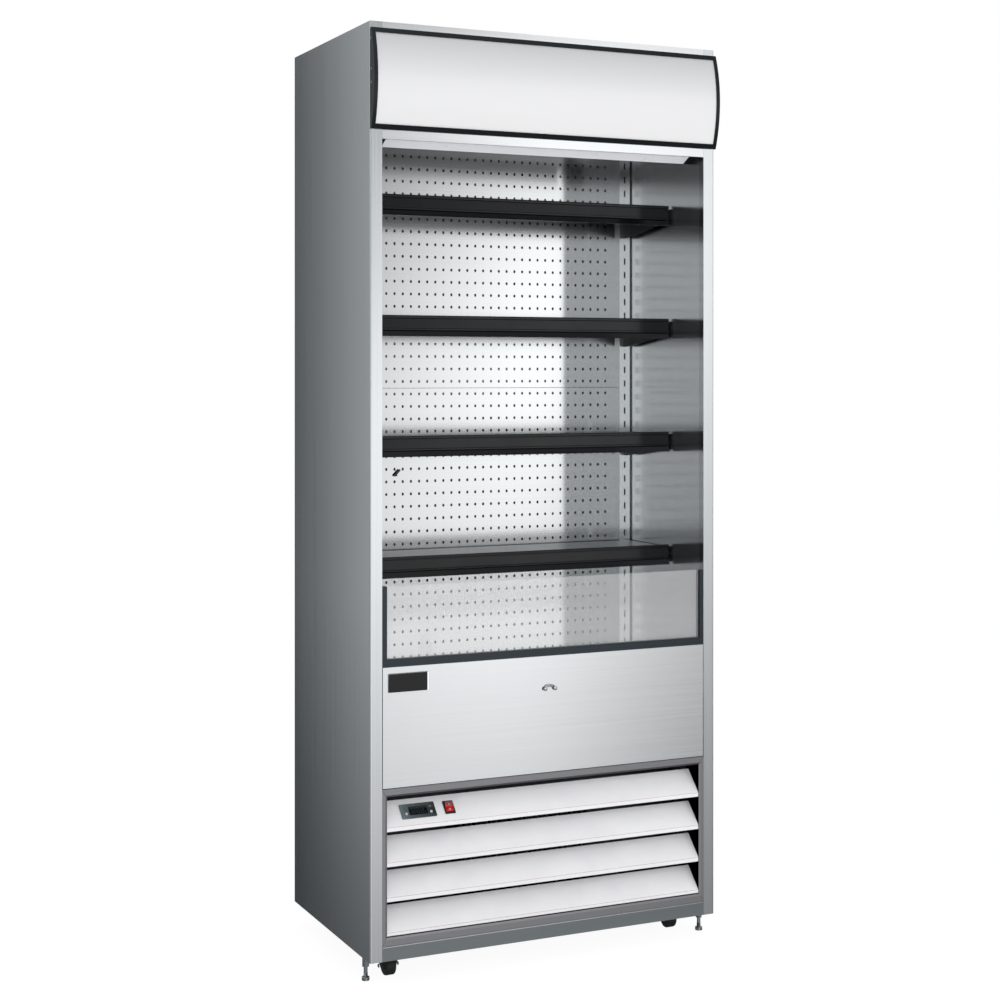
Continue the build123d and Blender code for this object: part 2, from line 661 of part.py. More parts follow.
def air_honeycomb():
    """Straightener grid hung in the ceiling's opening by its lip; the cold air curtain leaves here."""
    half = OUTLET_HALF_WIDTH - FIT
    front = OUTLET_FRONT + FIT
    back = OUTLET_BACK - FIT
    top = CEILING + SHEET + FIT + OUTLET_WALL
    low = CEILING - OUTLET_DEEP
    cell_x = (2 * half - OUTLET_WALL) / OUTLET_COLUMNS
    cell_y = (back - front - OUTLET_WALL) / OUTLET_ROWS
    with BuildPart() as honeycomb:
        block((-half, half), (front, back), (low, top))
        lip_x = (-half - OUTLET_LIP, half + OUTLET_LIP)
        block(lip_x, (front - OUTLET_LIP, back + OUTLET_LIP), (top - OUTLET_WALL, top))
        with BuildSketch(Plane.XY.offset(height_z(low))):
            with Locations((0, depth_y((front + back) / 2))):
                with GridLocations(cell_x, cell_y, OUTLET_COLUMNS, OUTLET_ROWS):
                    Rectangle(cell_x - OUTLET_WALL, cell_y - OUTLET_WALL)
        extrude(amount=top - low, mode=Mode.SUBTRACT)
    return honeycomb


def shelf_uprights():
    """Slotted channels in the rear corners that the shelf brackets hook into."""
    first_slot = SHELF_FIRST - SLOT_BELOW_SHELF
    below = int((first_slot - SLOT_HEIGHT - UPRIGHT_BOTTOM) // SLOT_PITCH)
    above = int((UPRIGHT_TOP - SLOT_HEIGHT - first_slot) // SLOT_PITCH)
    back = DUCT_PANEL - FIT
    with BuildPart() as uprights:
        for side in (-1, 1):
            middle = side * UPRIGHT_CENTRE
            outside = (middle - UPRIGHT_WIDTH / 2, middle + UPRIGHT_WIDTH / 2)
            inside = (outside[0] + UPRIGHT_T, outside[1] - UPRIGHT_T)
            block(outside, (UPRIGHT_FACE, back), (UPRIGHT_BOTTOM, UPRIGHT_TOP))
            hollow = (UPRIGHT_FACE + UPRIGHT_T, back + UPRIGHT_T)
            block(inside, hollow, (UPRIGHT_BOTTOM - SHEET, UPRIGHT_TOP + SHEET), mode=Mode.SUBTRACT)
        with BuildSketch(Plane.XZ.offset(-depth_y(UPRIGHT_FACE))):
            for side in (-1, 1):
                for step in range(-below, above + 1):
                    with Locations((side * UPRIGHT_CENTRE, height_z(first_slot + step * SLOT_PITCH))):
                        Rectangle(SLOT_WIDTH, SLOT_HEIGHT)
        extrude(amount=2 * UPRIGHT_T, both=True, mode=Mode.SUBTRACT)
    return uprights


# ================================================================ shelves
def shelf_levels():
    """Height of each ticket strip's top, lowest first."""
    return [SHELF_FIRST + SHELF_PITCH * index for index in range(SHELF_COUNT)]


def shelf_plate(top):
    """Folded steel shelf: plate, deep front flange, side flanges and a short rear flange."""
    plate = top - SHELF_DROP
    front = SHELF_FRONT + FIT
    back = UPRIGHT_FACE - SHELF_REAR_GAP
    bracket_x = UPRIGHT_CENTRE - UPRIGHT_WIDTH / 2
    with BuildPart() as shelf:
        full_width = (-SHELF_HALF_WIDTH, SHELF_HALF_WIDTH)
        block(full_width, (front, back), (plate - SHELF_T, plate))
        block(full_width, (front, front + SHELF_T), (plate - SHELF_FRONT_FLANGE, plate))
        for side in (-1, 1):
            edge = side * SHELF_HALF_WIDTH
            block((edge, edge - side * SHELF_T), (front, back), (plate - SHELF_SIDE_FLANGE, plate))
        block((-bracket_x, bracket_x), (back - SHELF_T, back), (plate - SHELF_REAR_FLANGE, plate))
    return shelf


def ticket_strips():
    """Price-label channel on each shelf front: top lip, recessed band, groove and flared skirt."""
    with BuildPart() as strips:
        for top in shelf_levels():
            with BuildSketch(Plane.YZ.offset(-SHELF_HALF_WIDTH)):
                with BuildLine():
                    points = [(depth_y(SHELF_FRONT + out), height_z(top + up)) for out, up in STRIP_SECTION]
                    Polyline(*points, close=True)
                make_face()
            extrude(amount=2 * SHELF_HALF_WIDTH)
    return strips


def shelf_brackets():
    """Gusset brackets under both ends of every shelf, hooked into the uprights' slots."""
    back = UPRIGHT_FACE - FIT
    nose = SHELF_FRONT + FIT + SHELF_T + BRACKET_CLEAR
    with BuildPart() as brackets:
        for top in shelf_levels():
            ledge = top - SHELF_DROP - SHELF_T - FIT
            for side in (-1, 1):
                start = side * UPRIGHT_CENTRE - BRACKET_T / 2
                with BuildSketch(Plane.YZ.offset(start)):
                    with BuildLine():
                        Polyline(
                            (depth_y(back), height_z(ledge)),
                            (depth_y(nose), height_z(ledge)),
                            (depth_y(nose), height_z(ledge - BRACKET_NOSE + BRACKET_T)),
                            (depth_y(nose + BRACKET_T), height_z(ledge - BRACKET_NOSE)),
                            (depth_y(back - HOOK_HEIGHT), height_z(ledge - BRACKET_LEG)),
                            (depth_y(back), height_z(ledge - BRACKET_LEG)),
                            close=True,
                        )
                    make_face()
                    slot = top - SLOT_BELOW_SHELF
                    for hook in (slot, slot - SLOT_PITCH):
                        reach = HOOK_REACH + FIT
                        with Locations((depth_y(back + reach / 2), height_z(hook))):
                            Rectangle(reach, HOOK_HEIGHT)
                extrude(amount=BRACKET_T)
    return brackets


# ================================================================ well, deck, front and glass
def well_tray():
    """Lined well: floor and front wall in one tray, and the pan that closes the foam below."""
    half = HALF_OPENING - FIT
    rear = REAR_LINER - FIT
    with BuildPart() as well:
        block((-half, half), (WELL_FRONT, rear), (WELL_FLOOR - SHEET, WELL_FLOOR))
        wall_top = FRONT_PANEL_TOP - SHEET
        block((-half, half), (WELL_FRONT, WELL_FRONT + SHEET), (WELL_FLOOR - SHEET, wall_top))
        pan_depths = (PANEL_FLANGE + 2 * FIT, REAR_FOAM_FRONT - 2 * FIT)
        block((-half, half), pan_depths, (FLOOR_PAN, FLOOR_PAN + SHEET))
    return well


def deck_pan():
    """Lift-out bottom deck on its own folded legs, slotted at the front for the returning air."""
    half = HALF_OPENING - DECK_GAP
    front = WELL_FRONT + SHEET + DECK_GAP
    back = DUCT_PANEL - DECK_GAP
    floor = WELL_FLOOR + FIT
    with BuildPart() as deck:
        block((-half, half), (front, back), (floor, DECK))
        inner = (-half + DECK_T, half - DECK_T)
        block(inner, (front + DECK_T, back + DECK_T), (floor - SHEET, DECK - DECK_T), mode=Mode.SUBTRACT)
        with BuildSketch(Plane.XY.offset(height_z(DECK))):
            with Locations((0, depth_y(front + 3 * DECK_SLOT_WIDTH))):
                spacing = 2 * half / (DECK_SLOT_COLUMNS + 1)
                with GridLocations(spacing, 2 * DECK_SLOT_WIDTH, DECK_SLOT_COLUMNS, DECK_SLOT_ROWS):
                    Rectangle(spacing - DECK_SLOT_WEB, DECK_SLOT_WIDTH)
        extrude(amount=-2 * DECK_T, mode=Mode.SUBTRACT)
    return deck


def front_panel():
    """Plain stainless panel under the glass, flanged all round."""
    half = HALF_OPENING - PANEL_GAP
    low = FLOOR_PAN
    with BuildPart() as panel:
        block((-half, half), (0, PANEL_FLANGE), (low, FRONT_PANEL_TOP))
        inner = (-half + SHEET, half - SHEET)
        block(inner, (SHEET, ANY), (low + SHEET, FRONT_PANEL_TOP - SHEET), mode=Mode.SUBTRACT)
    return panel


def glass_channel():
    """Dark U-shaped channel that holds the glass riser at its foot and both sides."""
    half = HALF_OPENING - FIT
    pocket = half - CHANNEL_FLOOR
    floor = CHANNEL_BOTTOM + CHANNEL_FLOOR
    slot = (GLASS_DEPTH - GLASS_CLEAR, GLASS_DEPTH + GLASS_T + GLASS_CLEAR)
    with BuildPart() as channel:
        block((-half, half), (0, CHANNEL_DEEP), (CHANNEL_BOTTOM, GLASS_TOP))
        window = half - CHANNEL_SIDE
        open_heights = (CHANNEL_BOTTOM + CHANNEL_HEIGHT, GLASS_TOP + SHEET)
        block((-window, window), (-ANY, ANY), open_heights, mode=Mode.SUBTRACT)
        block((-pocket, pocket), slot, (floor, GLASS_TOP + SHEET), mode=Mode.SUBTRACT)
    return channel


def glass_riser():
    """Toughened glass that keeps the cold air in the well."""
    half = HALF_OPENING - FIT - CHANNEL_FLOOR - GLASS_CLEAR
    with BuildPart() as glass:
        bottom = CHANNEL_BOTTOM + CHANNEL_FLOOR + GLASS_CLEAR
        block((-half, half), (GLASS_DEPTH, GLASS_DEPTH + GLASS_T), (bottom, GLASS_TOP))
        edges = glass.edges().filter_by(Axis.X).group_by(Axis.Z)[-1]
        chamfer(edges, GLASS_T / 8)
    return glass


# ================================================================ grille and louvres
def grille_frame():
    """Picture-frame surround with a bevelled inner edge, and the cheeks that carry the blades."""
    half = HALF_OPENING - FIT
    middle = (GRILLE_BOTTOM + GRILLE_TOP) / 2
    inner_low = GRILLE_BOTTOM + GRILLE_BOTTOM_BORDER
    inner_high = GRILLE_TOP - GRILLE_TOP_BORDER
    inner_half = half - GRILLE_SIDE
    with BuildPart() as grille:
        with BuildSketch(Plane.XZ.offset(-depth_y(GRILLE_DEEP))):
            with Locations((0, height_z(middle))):
                Rectangle(2 * half, GRILLE_TOP - GRILLE_BOTTOM)
            with Locations((0, height_z((inner_low + inner_high) / 2))):
                Rectangle(2 * inner_half, inner_high - inner_low, mode=Mode.SUBTRACT)
        extrude(amount=GRILLE_DEEP)
        front_face = grille.faces().sort_by(Axis.Y)[0]
        chamfer(front_face.inner_wires()[0].edges(), GRILLE_BEVEL / 2, GRILLE_BEVEL)
        for side in (-1, 1):
            x_pair = (side * inner_half, side * (inner_half + GRILLE_CHEEK))
            block(x_pair, (GRILLE_DEEP - SHEET, GRILLE_CHEEK_BACK), (inner_low, inner_high))
    return grille


LOUVRE_FOLD_HEIGHT = LOUVRE_TOP_LIP + LOUVRE_LIP
SLOPE_DEPTH = LOUVRE_BACK - LOUVRE_FRONT
SLOPE_RISE = LOUVRE_RISE - LOUVRE_LIP
SLOPE_LENGTH = hypot(SLOPE_DEPTH, SLOPE_RISE)
SLOPE_OUT = (0, -SLOPE_RISE / SLOPE_LENGTH, SLOPE_DEPTH / SLOPE_LENGTH)


def slope_plane(x, along):
    """Sketch plane on the top blade's outer face: x across, y up the slope, z outwards."""
    depth = LOUVRE_FRONT + SLOPE_DEPTH * along / SLOPE_LENGTH
    height = LOUVRE_FOLD_HEIGHT + SLOPE_RISE * along / SLOPE_LENGTH
    return Plane(origin=(x, depth_y(depth), height_z(height)), x_dir=(1, 0, 0), z_dir=SLOPE_OUT)


def louvre_blades():
    """Four folded blades: a hem and a lip in front, then up and back. The top one carries the controls."""
    half = HALF_OPENING - FIT - GRILLE_SIDE - FIT
    out_depth = LOUVRE_T * SLOPE_RISE / SLOPE_LENGTH
    out_height = LOUVRE_T * SLOPE_DEPTH / SLOPE_LENGTH
    fold = LOUVRE_LIP - out_height
    with BuildPart() as blades:
        for index in range(LOUVRE_COUNT):
            low = LOUVRE_TOP_LIP - LOUVRE_PITCH * index
            with BuildSketch(Plane.YZ.offset(-half)):
                with BuildLine():
                    Polyline(
                        (depth_y(LOUVRE_FRONT + LOUVRE_HEM), height_z(low)),
                        (depth_y(LOUVRE_FRONT), height_z(low)),
                        (depth_y(LOUVRE_FRONT), height_z(low + LOUVRE_LIP)),
                        (depth_y(LOUVRE_BACK), height_z(low + LOUVRE_RISE)),
                        (depth_y(LOUVRE_BACK + out_depth), height_z(low + LOUVRE_RISE - out_height)),
                        (depth_y(LOUVRE_FRONT + LOUVRE_T), height_z(low + fold)),
                        (depth_y(LOUVRE_FRONT + LOUVRE_T), height_z(low + LOUVRE_T)),
                        (depth_y(LOUVRE_FRONT + LOUVRE_HEM), height_z(low + LOUVRE_T)),
                        close=True,
                    )
                make_face()
            extrude(amount=2 * half)
        for x, width, tall in (
            (CONTROLLER_X, CONTROLLER_BODY_WIDTH, CONTROLLER_BODY_TALL),
            (SWITCH_X, SWITCH_BODY_WIDTH, SWITCH_BODY_TALL),
        ):
            with BuildSketch(slope_plane(x, CONTROLLER_ALONG)):
                Rectangle(width + 2 * CUTOUT_CLEAR, tall + 2 * CUTOUT_CLEAR)
            extrude(amount=3 * LOUVRE_T, both=True, mode=Mode.SUBTRACT)
    return blades


# ================================================================ controls
def key_places():
    """The four keys' places on the controller's face, left pair first."""
    return [(side * KEY_SPREAD, rise * KEY_RISE) for side in (-1, 1) for rise in (1, -1)]


def controller_body():
    """Digital thermostat: rounded bezel with a recessed window and four key wells, on a deep box."""
    face = slope_plane(CONTROLLER_X, CONTROLLER_ALONG).offset(FIT)
    front = face.offset(CONTROLLER_PROUD)
    with BuildPart() as body:
        with BuildSketch(face):
            RectangleRounded(CONTROLLER_WIDTH, CONTROLLER_TALL, CONTROLLER_CORNER)
        extrude(amount=CONTROLLER_PROUD)
        chamfer(body.faces().sort_by(Axis.Y)[0].outer_wire().edges(), CONTROLLER_PROUD / 4)
        with BuildSketch(face):
            Rectangle(CONTROLLER_BODY_WIDTH, CONTROLLER_BODY_TALL)
        extrude(amount=-CONTROLLER_BODY_DEEP)
        with BuildSketch(front):
            RectangleRounded(WINDOW_WIDTH, WINDOW_TALL, WINDOW_CORNER)
        extrude(amount=-WINDOW_RECESS, mode=Mode.SUBTRACT)
        with BuildSketch(front):
            with Locations(key_places()):
                Circle(KEY_RADIUS + KEY_CLEAR)
        extrude(amount=-KEY_DEEP - KEY_TRAVEL - KEY_CLEAR, mode=Mode.SUBTRACT)
    return body


def controller_key(place):
    """One soft key cap with a rounded top."""
    front = slope_plane(CONTROLLER_X, CONTROLLER_ALONG).offset(FIT + CONTROLLER_PROUD)
    with BuildPart() as cap:
        with BuildSketch(front.offset(-KEY_DEEP)):
            with Locations(place):
                Circle(KEY_RADIUS)
        extrude(amount=KEY_DEEP + KEY_PROUD)
        top_edge = cap.edges().filter_by(GeomType.CIRCLE).sort_by(Axis.Z)[-1]
        fillet(top_edge, KEY_PROUD / 2)
    return cap


def switch_bezel():
    """Black snap-in housing of the mains switch, with the rocker's well."""
    face = slope_plane(SWITCH_X, CONTROLLER_ALONG).offset(FIT)
    front = face.offset(SWITCH_PROUD)
    axis_depth = SWITCH_PROUD - ROCKER_AXIS_BELOW
    with BuildPart() as bezel:
        with BuildSketch(face):
            RectangleRounded(SWITCH_WIDTH, SWITCH_TALL, SWITCH_CORNER)
        extrude(amount=SWITCH_PROUD)
        chamfer(bezel.faces().sort_by(Axis.Y)[0].outer_wire().edges(), SWITCH_PROUD / 3)
        with BuildSketch(face):
            Rectangle(SWITCH_BODY_WIDTH, SWITCH_BODY_TALL)
        extrude(amount=-SWITCH_BODY_DEEP)
        with BuildSketch(front):
            Rectangle(ROCKER_WIDTH + 2 * ROCKER_CLEAR, ROCKER_TALL + 2 * ROCKER_CLEAR)
        extrude(amount=-ROCKER_WELL, mode=Mode.SUBTRACT)
        axle = Plane(origin=face.offset(axis_depth).origin, x_dir=(0, 1, 0), z_dir=(1, 0, 0))
        with BuildSketch(axle):
            Circle(ROCKER_PIN + PIN_CLEAR)
        extrude(amount=SWITCH_BODY_WIDTH / 2 - SHEET / 2, both=True, mode=Mode.SUBTRACT)
    return bezel


def rocker():
    """Red rocker: a shallow V tilted to its ON side, turning on two side pins."""
    face = slope_plane(SWITCH_X, CONTROLLER_ALONG).offset(FIT + SWITCH_PROUD - ROCKER_AXIS_BELOW)
    tilt = radians(ROCKER_TILT)
    half = ROCKER_TALL / 2 - ROCKER_CLEAR
    upper = (half * cos(2 * tilt), ROCKER_AXIS_BELOW + SWITCH_PROUD + half * sin(2 * tilt))
    lower = (-half, ROCKER_AXIS_BELOW + SHEET / 2)
    crown = (0.0, ROCKER_AXIS_BELOW + SHEET)
    with BuildPart() as tilted:
        profile = Plane(origin=face.origin, x_dir=face.y_dir, z_dir=(1, 0, 0))
        with BuildSketch(profile.offset(-ROCKER_WIDTH / 2)):
            with BuildLine():
                Polyline(
                    lower,
                    crown,
                    upper,
                    (upper[0] - SHEET, -SHEET),
                    (ROCKER_THICK / 2, -ROCKER_THICK),
                    (-ROCKER_THICK / 2, -ROCKER_THICK),
                    (lower[0] + SHEET, -SHEET),
                    close=True,
                )
            make_face()
        extrude(amount=ROCKER_WIDTH)
        with BuildSketch(profile):
            Circle(ROCKER_PIN)
        extrude(amount=SWITCH_BODY_WIDTH / 2 - SHEET, both=True)
    return tilted


# ================================================================ night blind and interior lamp
BLOCK_INNER = HALF_OPENING - FIT - BRACKET_BLOCK
BLIND_DEPTH = ROLLER_DEPTH - ROLLER_RADIUS - BLIND_CLEAR - BLIND_T / 2
BAR_TOP = BAR_HEIGHT + BAR_TALL / 2


def blind_brackets():
    """Moulded end brackets on the side liners: bearing for the roller, rest for the lamp."""
    front = depth_y(ROLLER_DEPTH - ROLLER_RADIUS + BAR_DEEP / 2)
    with BuildPart() as brackets:
        for side in (-1, 1):
            outer = side * (HALF_OPENING - FIT)
            with BuildSketch(Plane.YZ.offset(outer)):
                with BuildLine():
                    Polyline(
                        (front, height_z(ROLLER_HEIGHT + ROLLER_RADIUS)),
                        (depth_y(LAMP_BODY_BACK), height_z(ROLLER_HEIGHT + ROLLER_RADIUS)),
                        (depth_y(LAMP_BODY_BACK), height_z(LAMP_LOW + SHEET)),
                        (depth_y(LAMP_BACK), height_z(LAMP_LOW)),
                        (depth_y(LAMP_FRONT - SHEET), height_z(LAMP_TOP)),
                        (front, height_z(ROLLER_HEIGHT - ROLLER_RADIUS)),
                        close=True,
                    )
                make_face()
            extrude(amount=-side * BRACKET_BLOCK)
            inner = Plane.YZ.offset(side * BLOCK_INNER)
            with BuildSketch(inner):
                with Locations((depth_y(ROLLER_DEPTH), height_z(ROLLER_HEIGHT))):
                    Circle(ROLLER_PIN + PIN_CLEAR)
            extrude(amount=side * BRACKET_BLOCK * 2 / 3, mode=Mode.SUBTRACT)
    return brackets


def blind_roller():
    """Sprung tube with the wound blind, on a pin at each end."""
    axle = Plane.YZ
    centre = (depth_y(ROLLER_DEPTH), height_z(ROLLER_HEIGHT))
    with BuildPart() as roller:
        with BuildSketch(axle):
            with Locations(centre):
                Circle(ROLLER_RADIUS)
        extrude(amount=BLOCK_INNER - ROLLER_END_GAP, both=True)
        with BuildSketch(axle):
            with Locations(centre):
                Circle(ROLLER_PIN)
        extrude(amount=BLOCK_INNER + BRACKET_BLOCK / 2, both=True)
    return roller


def blind_fabric():
    """The short free length of the blind between roller and bar when it is wound up."""
    half = BLOCK_INNER - BAR_END_CLEAR - ROLLER_END_GAP
    with BuildPart() as fabric:
        depths = (BLIND_DEPTH - BLIND_T / 2, BLIND_DEPTH + BLIND_T / 2)
        block((-half, half), depths, (BAR_TOP + FIT / 2, ROLLER_HEIGHT))
    return fabric


def blind_bar():
    """Rounded pull bar at the blind's lower edge."""
    half = BLOCK_INNER - BAR_END_CLEAR
    with BuildPart() as bar:
        with BuildSketch(Plane.YZ.offset(-half)):
            with Locations((depth_y(BLIND_DEPTH), height_z(BAR_HEIGHT))):
                RectangleRounded(BAR_DEEP, BAR_TALL, BAR_CORNER)
        extrude(amount=2 * half)
    return bar


def lamp_normal_offset(distance):
    """Shift, in depth and height, at right angles to the lamp's slanted face."""
    length = hypot(LAMP_BACK - LAMP_FRONT, LAMP_TOP - LAMP_LOW)
    return (distance * (LAMP_TOP - LAMP_LOW) / length, distance * (LAMP_BACK - LAMP_FRONT) / length)


def lamp_housing():
    """Slim sheet housing of the interior light behind the header."""
    half = BLOCK_INNER - FIT
    shift = lamp_normal_offset(DIFFUSER_T + FIT)
    with BuildPart() as housing:
        with BuildSketch(Plane.YZ.offset(-half)):
            with BuildLine():
                Polyline(
                    (depth_y(LAMP_FRONT + shift[0]), height_z(LAMP_TOP + shift[1])),
                    (depth_y(LAMP_BACK + shift[0]), height_z(LAMP_LOW + shift[1])),
                    (depth_y(LAMP_BODY_BACK), height_z(LAMP_LOW + SHEET + shift[1])),
                    (depth_y(LAMP_BODY_BACK), height_z(LAMP_BODY_TOP)),
                    (depth_y(LAMP_FRONT + shift[0]), height_z(LAMP_BODY_TOP)),
                    close=True,
                )
            make_face()
        extrude(amount=2 * half)
    return housing


def lamp_diffuser():
    """Frosted strip on the housing's slanted face; it shows as a pale band below the header."""
    half = BLOCK_INNER - FIT
    shift = lamp_normal_offset(DIFFUSER_T)
    with BuildPart() as diffuser:
        with BuildSketch(Plane.YZ.offset(-half)):
            with BuildLine():
                Polyline(
                    (depth_y(LAMP_FRONT), height_z(LAMP_TOP)),
                    (depth_y(LAMP_BACK), height_z(LAMP_LOW)),
                    (depth_y(LAMP_BACK + shift[0]), height_z(LAMP_LOW + shift[1])),
                    (depth_y(LAMP_FRONT + shift[0]), height_z(LAMP_TOP + shift[1])),
                    close=True,
                )
            make_face()
        extrude(amount=2 * half)
    return diffuser


def blind_catch():
    """Small bright clip on the front panel: screwed foot and a raised hook for the pull bar."""
    foot = Plane.XZ.offset(-depth_y(-FIT))
    with BuildPart() as catch:
        with BuildSketch(foot):
            with Locations((0, height_z(CATCH_HEIGHT))):
                RectangleRounded(CATCH_WIDTH, CATCH_TALL, CATCH_TALL / 2 - FIT)
        extrude(amount=CATCH_T)
        with BuildSketch(foot.offset(CATCH_T)):
            with Locations(
                (-CATCH_SCREW_SPREAD, height_z(CATCH_HEIGHT)),
                (CATCH_SCREW_SPREAD, height_z(CATCH_HEIGHT)),
            ):
                Circle(CATCH_SCREW_RADIUS)
        extrude(amount=SHEET)
        out = FIT + CATCH_T
        hook_x = (-CATCH_HOOK_WIDTH / 2, CATCH_HOOK_WIDTH / 2)
        block(hook_x, (-out, -out - CATCH_HOOK_OUT), (CATCH_HEIGHT, CATCH_HEIGHT + CATCH_T))
        lip = (-out - CATCH_HOOK_OUT + CATCH_T, -out - CATCH_HOOK_OUT)
        block(hook_x, lip, (CATCH_HEIGHT, CATCH_HEIGHT + CATCH_TALL))
    return catch


# ================================================================ base, feet and casters
CASTER_X = HALF_WIDTH - CASTER_INSET_X
FOOT_X = HALF_WIDTH - FOOT_INSET_X
FRONT_AXLE_Z = WHEEL_RADIUS + WHEEL_LIFT
REAR_AXLE_Z = WHEEL_RADIUS
FORK_LOW = FRONT_AXLE_Z - FORK_BELOW_AXLE
SLOT_HALF = WHEEL_WIDTH / 2 + CHEEK_GAP
FORK_TOP = FOOT_HEIGHT - FORK_GAP


def base_pan():
    """Folded bottom pan with the front rail, weld nuts for the feet and the casters' seats."""
    half = HALF_WIDTH - SHEET - FIT
    front = SHEET + FIT
    back = REAR_PANEL
    with BuildPart() as pan:
        block((-half, half), (front, back), (0, BASE_RAIL))
        fillet(pan.edges().filter_by(Axis.Z), BEND - SHEET)
        inner = (-half + BASE_T, half - BASE_T)
        block(inner, (front + BASE_T, back - BASE_T), (BASE_T, ANY), mode=Mode.SUBTRACT)
        rail_half = HALF_OPENING - FIT
        for side in (-1, 1):
            slit = (side * rail_half, side * (HALF_OPENING + SHEET + FIT))
            block(slit, (0, POST_RETURN + FIT), (-BASE_RAIL, 2 * BASE_RAIL), mode=Mode.SUBTRACT)
        block((-rail_half, rail_half), (0, front), (0, BASE_RAIL))
        block((-rail_half, rail_half), (front, CHANNEL_DEEP), (BASE_RAIL - BASE_T, BASE_RAIL))
        with BuildSketch(Plane.XY.offset(height_z(-NUT_T))):
            with Locations((-FOOT_X, depth_y(FOOT_INSET_Y)), (FOOT_X, depth_y(FOOT_INSET_Y))):
                RegularPolygon(NUT_FLATS / 2, 6, major_radius=False)
        extrude(amount=NUT_T)
        with BuildSketch(Plane.XY.offset(height_z(0))):
            with Locations((-CASTER_X, depth_y(CASTER_DEPTH)), (CASTER_X, depth_y(CASTER_DEPTH))):
                Circle(BOSS_RADIUS)
        extrude(amount=STEM_LENGTH + BASE_T)
        with BuildSketch(Plane.XY.offset(height_z(-NUT_T))):
            with Locations((-FOOT_X, depth_y(FOOT_INSET_Y)), (FOOT_X, depth_y(FOOT_INSET_Y))):
                Circle(FOOT_STEM + PIN_CLEAR)
        extrude(amount=NUT_T + BASE_T, mode=Mode.SUBTRACT)
        with BuildSketch(Plane.XY.offset(height_z(0))):
            with Locations((-CASTER_X, depth_y(CASTER_DEPTH)), (CASTER_X, depth_y(CASTER_DEPTH))):
                Circle(STEM_RADIUS + PIN_CLEAR)
        extrude(amount=STEM_LENGTH, mode=Mode.SUBTRACT)
        for side in (-1, 1):
            for cheek in (-1, 1):
                start = side * CASTER_X + cheek * SLOT_HALF
                with BuildSketch(Plane.YZ.offset(start)):
                    with BuildLine():
                        Polyline(
                            (depth_y(REAR_WHEEL_DEPTH - FORK_TOP_LENGTH / 2), height_z(0)),
                            (depth_y(REAR_WHEEL_DEPTH - 2 * AXLE_RADIUS), REAR_AXLE_Z - 2 * AXLE_RADIUS),
                            (depth_y(REAR_WHEEL_DEPTH + 2 * AXLE_RADIUS), REAR_AXLE_Z - 2 * AXLE_RADIUS),
                            (depth_y(REAR_WHEEL_DEPTH + FORK_TOP_LENGTH / 2), height_z(0)),
                            close=True,
                        )
                    make_face()
                extrude(amount=cheek * 2 * BASE_T)
            with BuildSketch(Plane.YZ.offset(side * CASTER_X - SLOT_HALF)):
                with Locations((depth_y(REAR_WHEEL_DEPTH), REAR_AXLE_Z)):
                    Circle(AXLE_RADIUS)
            extrude(amount=2 * SLOT_HALF)
    return pan


def levelling_foot(side):
    """Threaded stem with a small turned foot."""
    place = (side * FOOT_X, depth_y(FOOT_INSET_Y))
    with BuildPart() as foot:
        with BuildSketch(Plane.XY):
            with Locations(place):
                Circle(FOOT_DISC)
        extrude(amount=FOOT_DISC_T)
        rims = foot.edges().filter_by(GeomType.CIRCLE)
        fillet(rims.sort_by(Axis.Z)[-1], FOOT_DISC_T / 4)
        with BuildSketch(Plane.XY.offset(FOOT_DISC_T)):
            with Locations(place):
                Circle(FOOT_STEM)
        extrude(amount=FOOT_HEIGHT + FOOT_STEM_IN - FOOT_DISC_T)
    return foot


def caster_fork(side, trail):
    """Swivel fork: a hood that tapers to two cheeks round the wheel, with stem and axle."""
    swivel = (side * CASTER_X, depth_y(CASTER_DEPTH))
    axle_y = swivel[1] + trail * CASTER_TRAIL
    with BuildPart() as fork:
        with BuildSketch(Plane.XY.offset(FORK_TOP)):
            with Locations((swivel[0], (swivel[1] + axle_y) / 2)):
                RectangleRounded(FORK_TOP_WIDTH, FORK_TOP_LENGTH, FORK_TOP_WIDTH / 4)
        with BuildSketch(Plane.XY.offset(FORK_LOW)):
            with Locations((swivel[0], axle_y)):
                RectangleRounded(FORK_LOW_WIDTH, FORK_LOW_LENGTH, FORK_LOW_WIDTH / 4)
        loft()
        wheel_top = FRONT_AXLE_Z + WHEEL_RADIUS + CHEEK_GAP
        with BuildSketch(Plane.XY.offset(FORK_LOW - SHEET)):
            with Locations((swivel[0], axle_y)):
                Rectangle(2 * SLOT_HALF, ANY)
        extrude(amount=wheel_top - FORK_LOW + SHEET, mode=Mode.SUBTRACT)
        with BuildSketch(Plane.XY.offset(FORK_TOP)):
            with Locations(swivel):
                Circle(STEM_RADIUS)
        extrude(amount=STEM_LENGTH)
        with BuildSketch(Plane.YZ.offset(swivel[0] - SLOT_HALF)):
            with Locations((axle_y, FRONT_AXLE_Z)):
                Circle(AXLE_RADIUS)
        extrude(amount=2 * SLOT_HALF)
    return fork


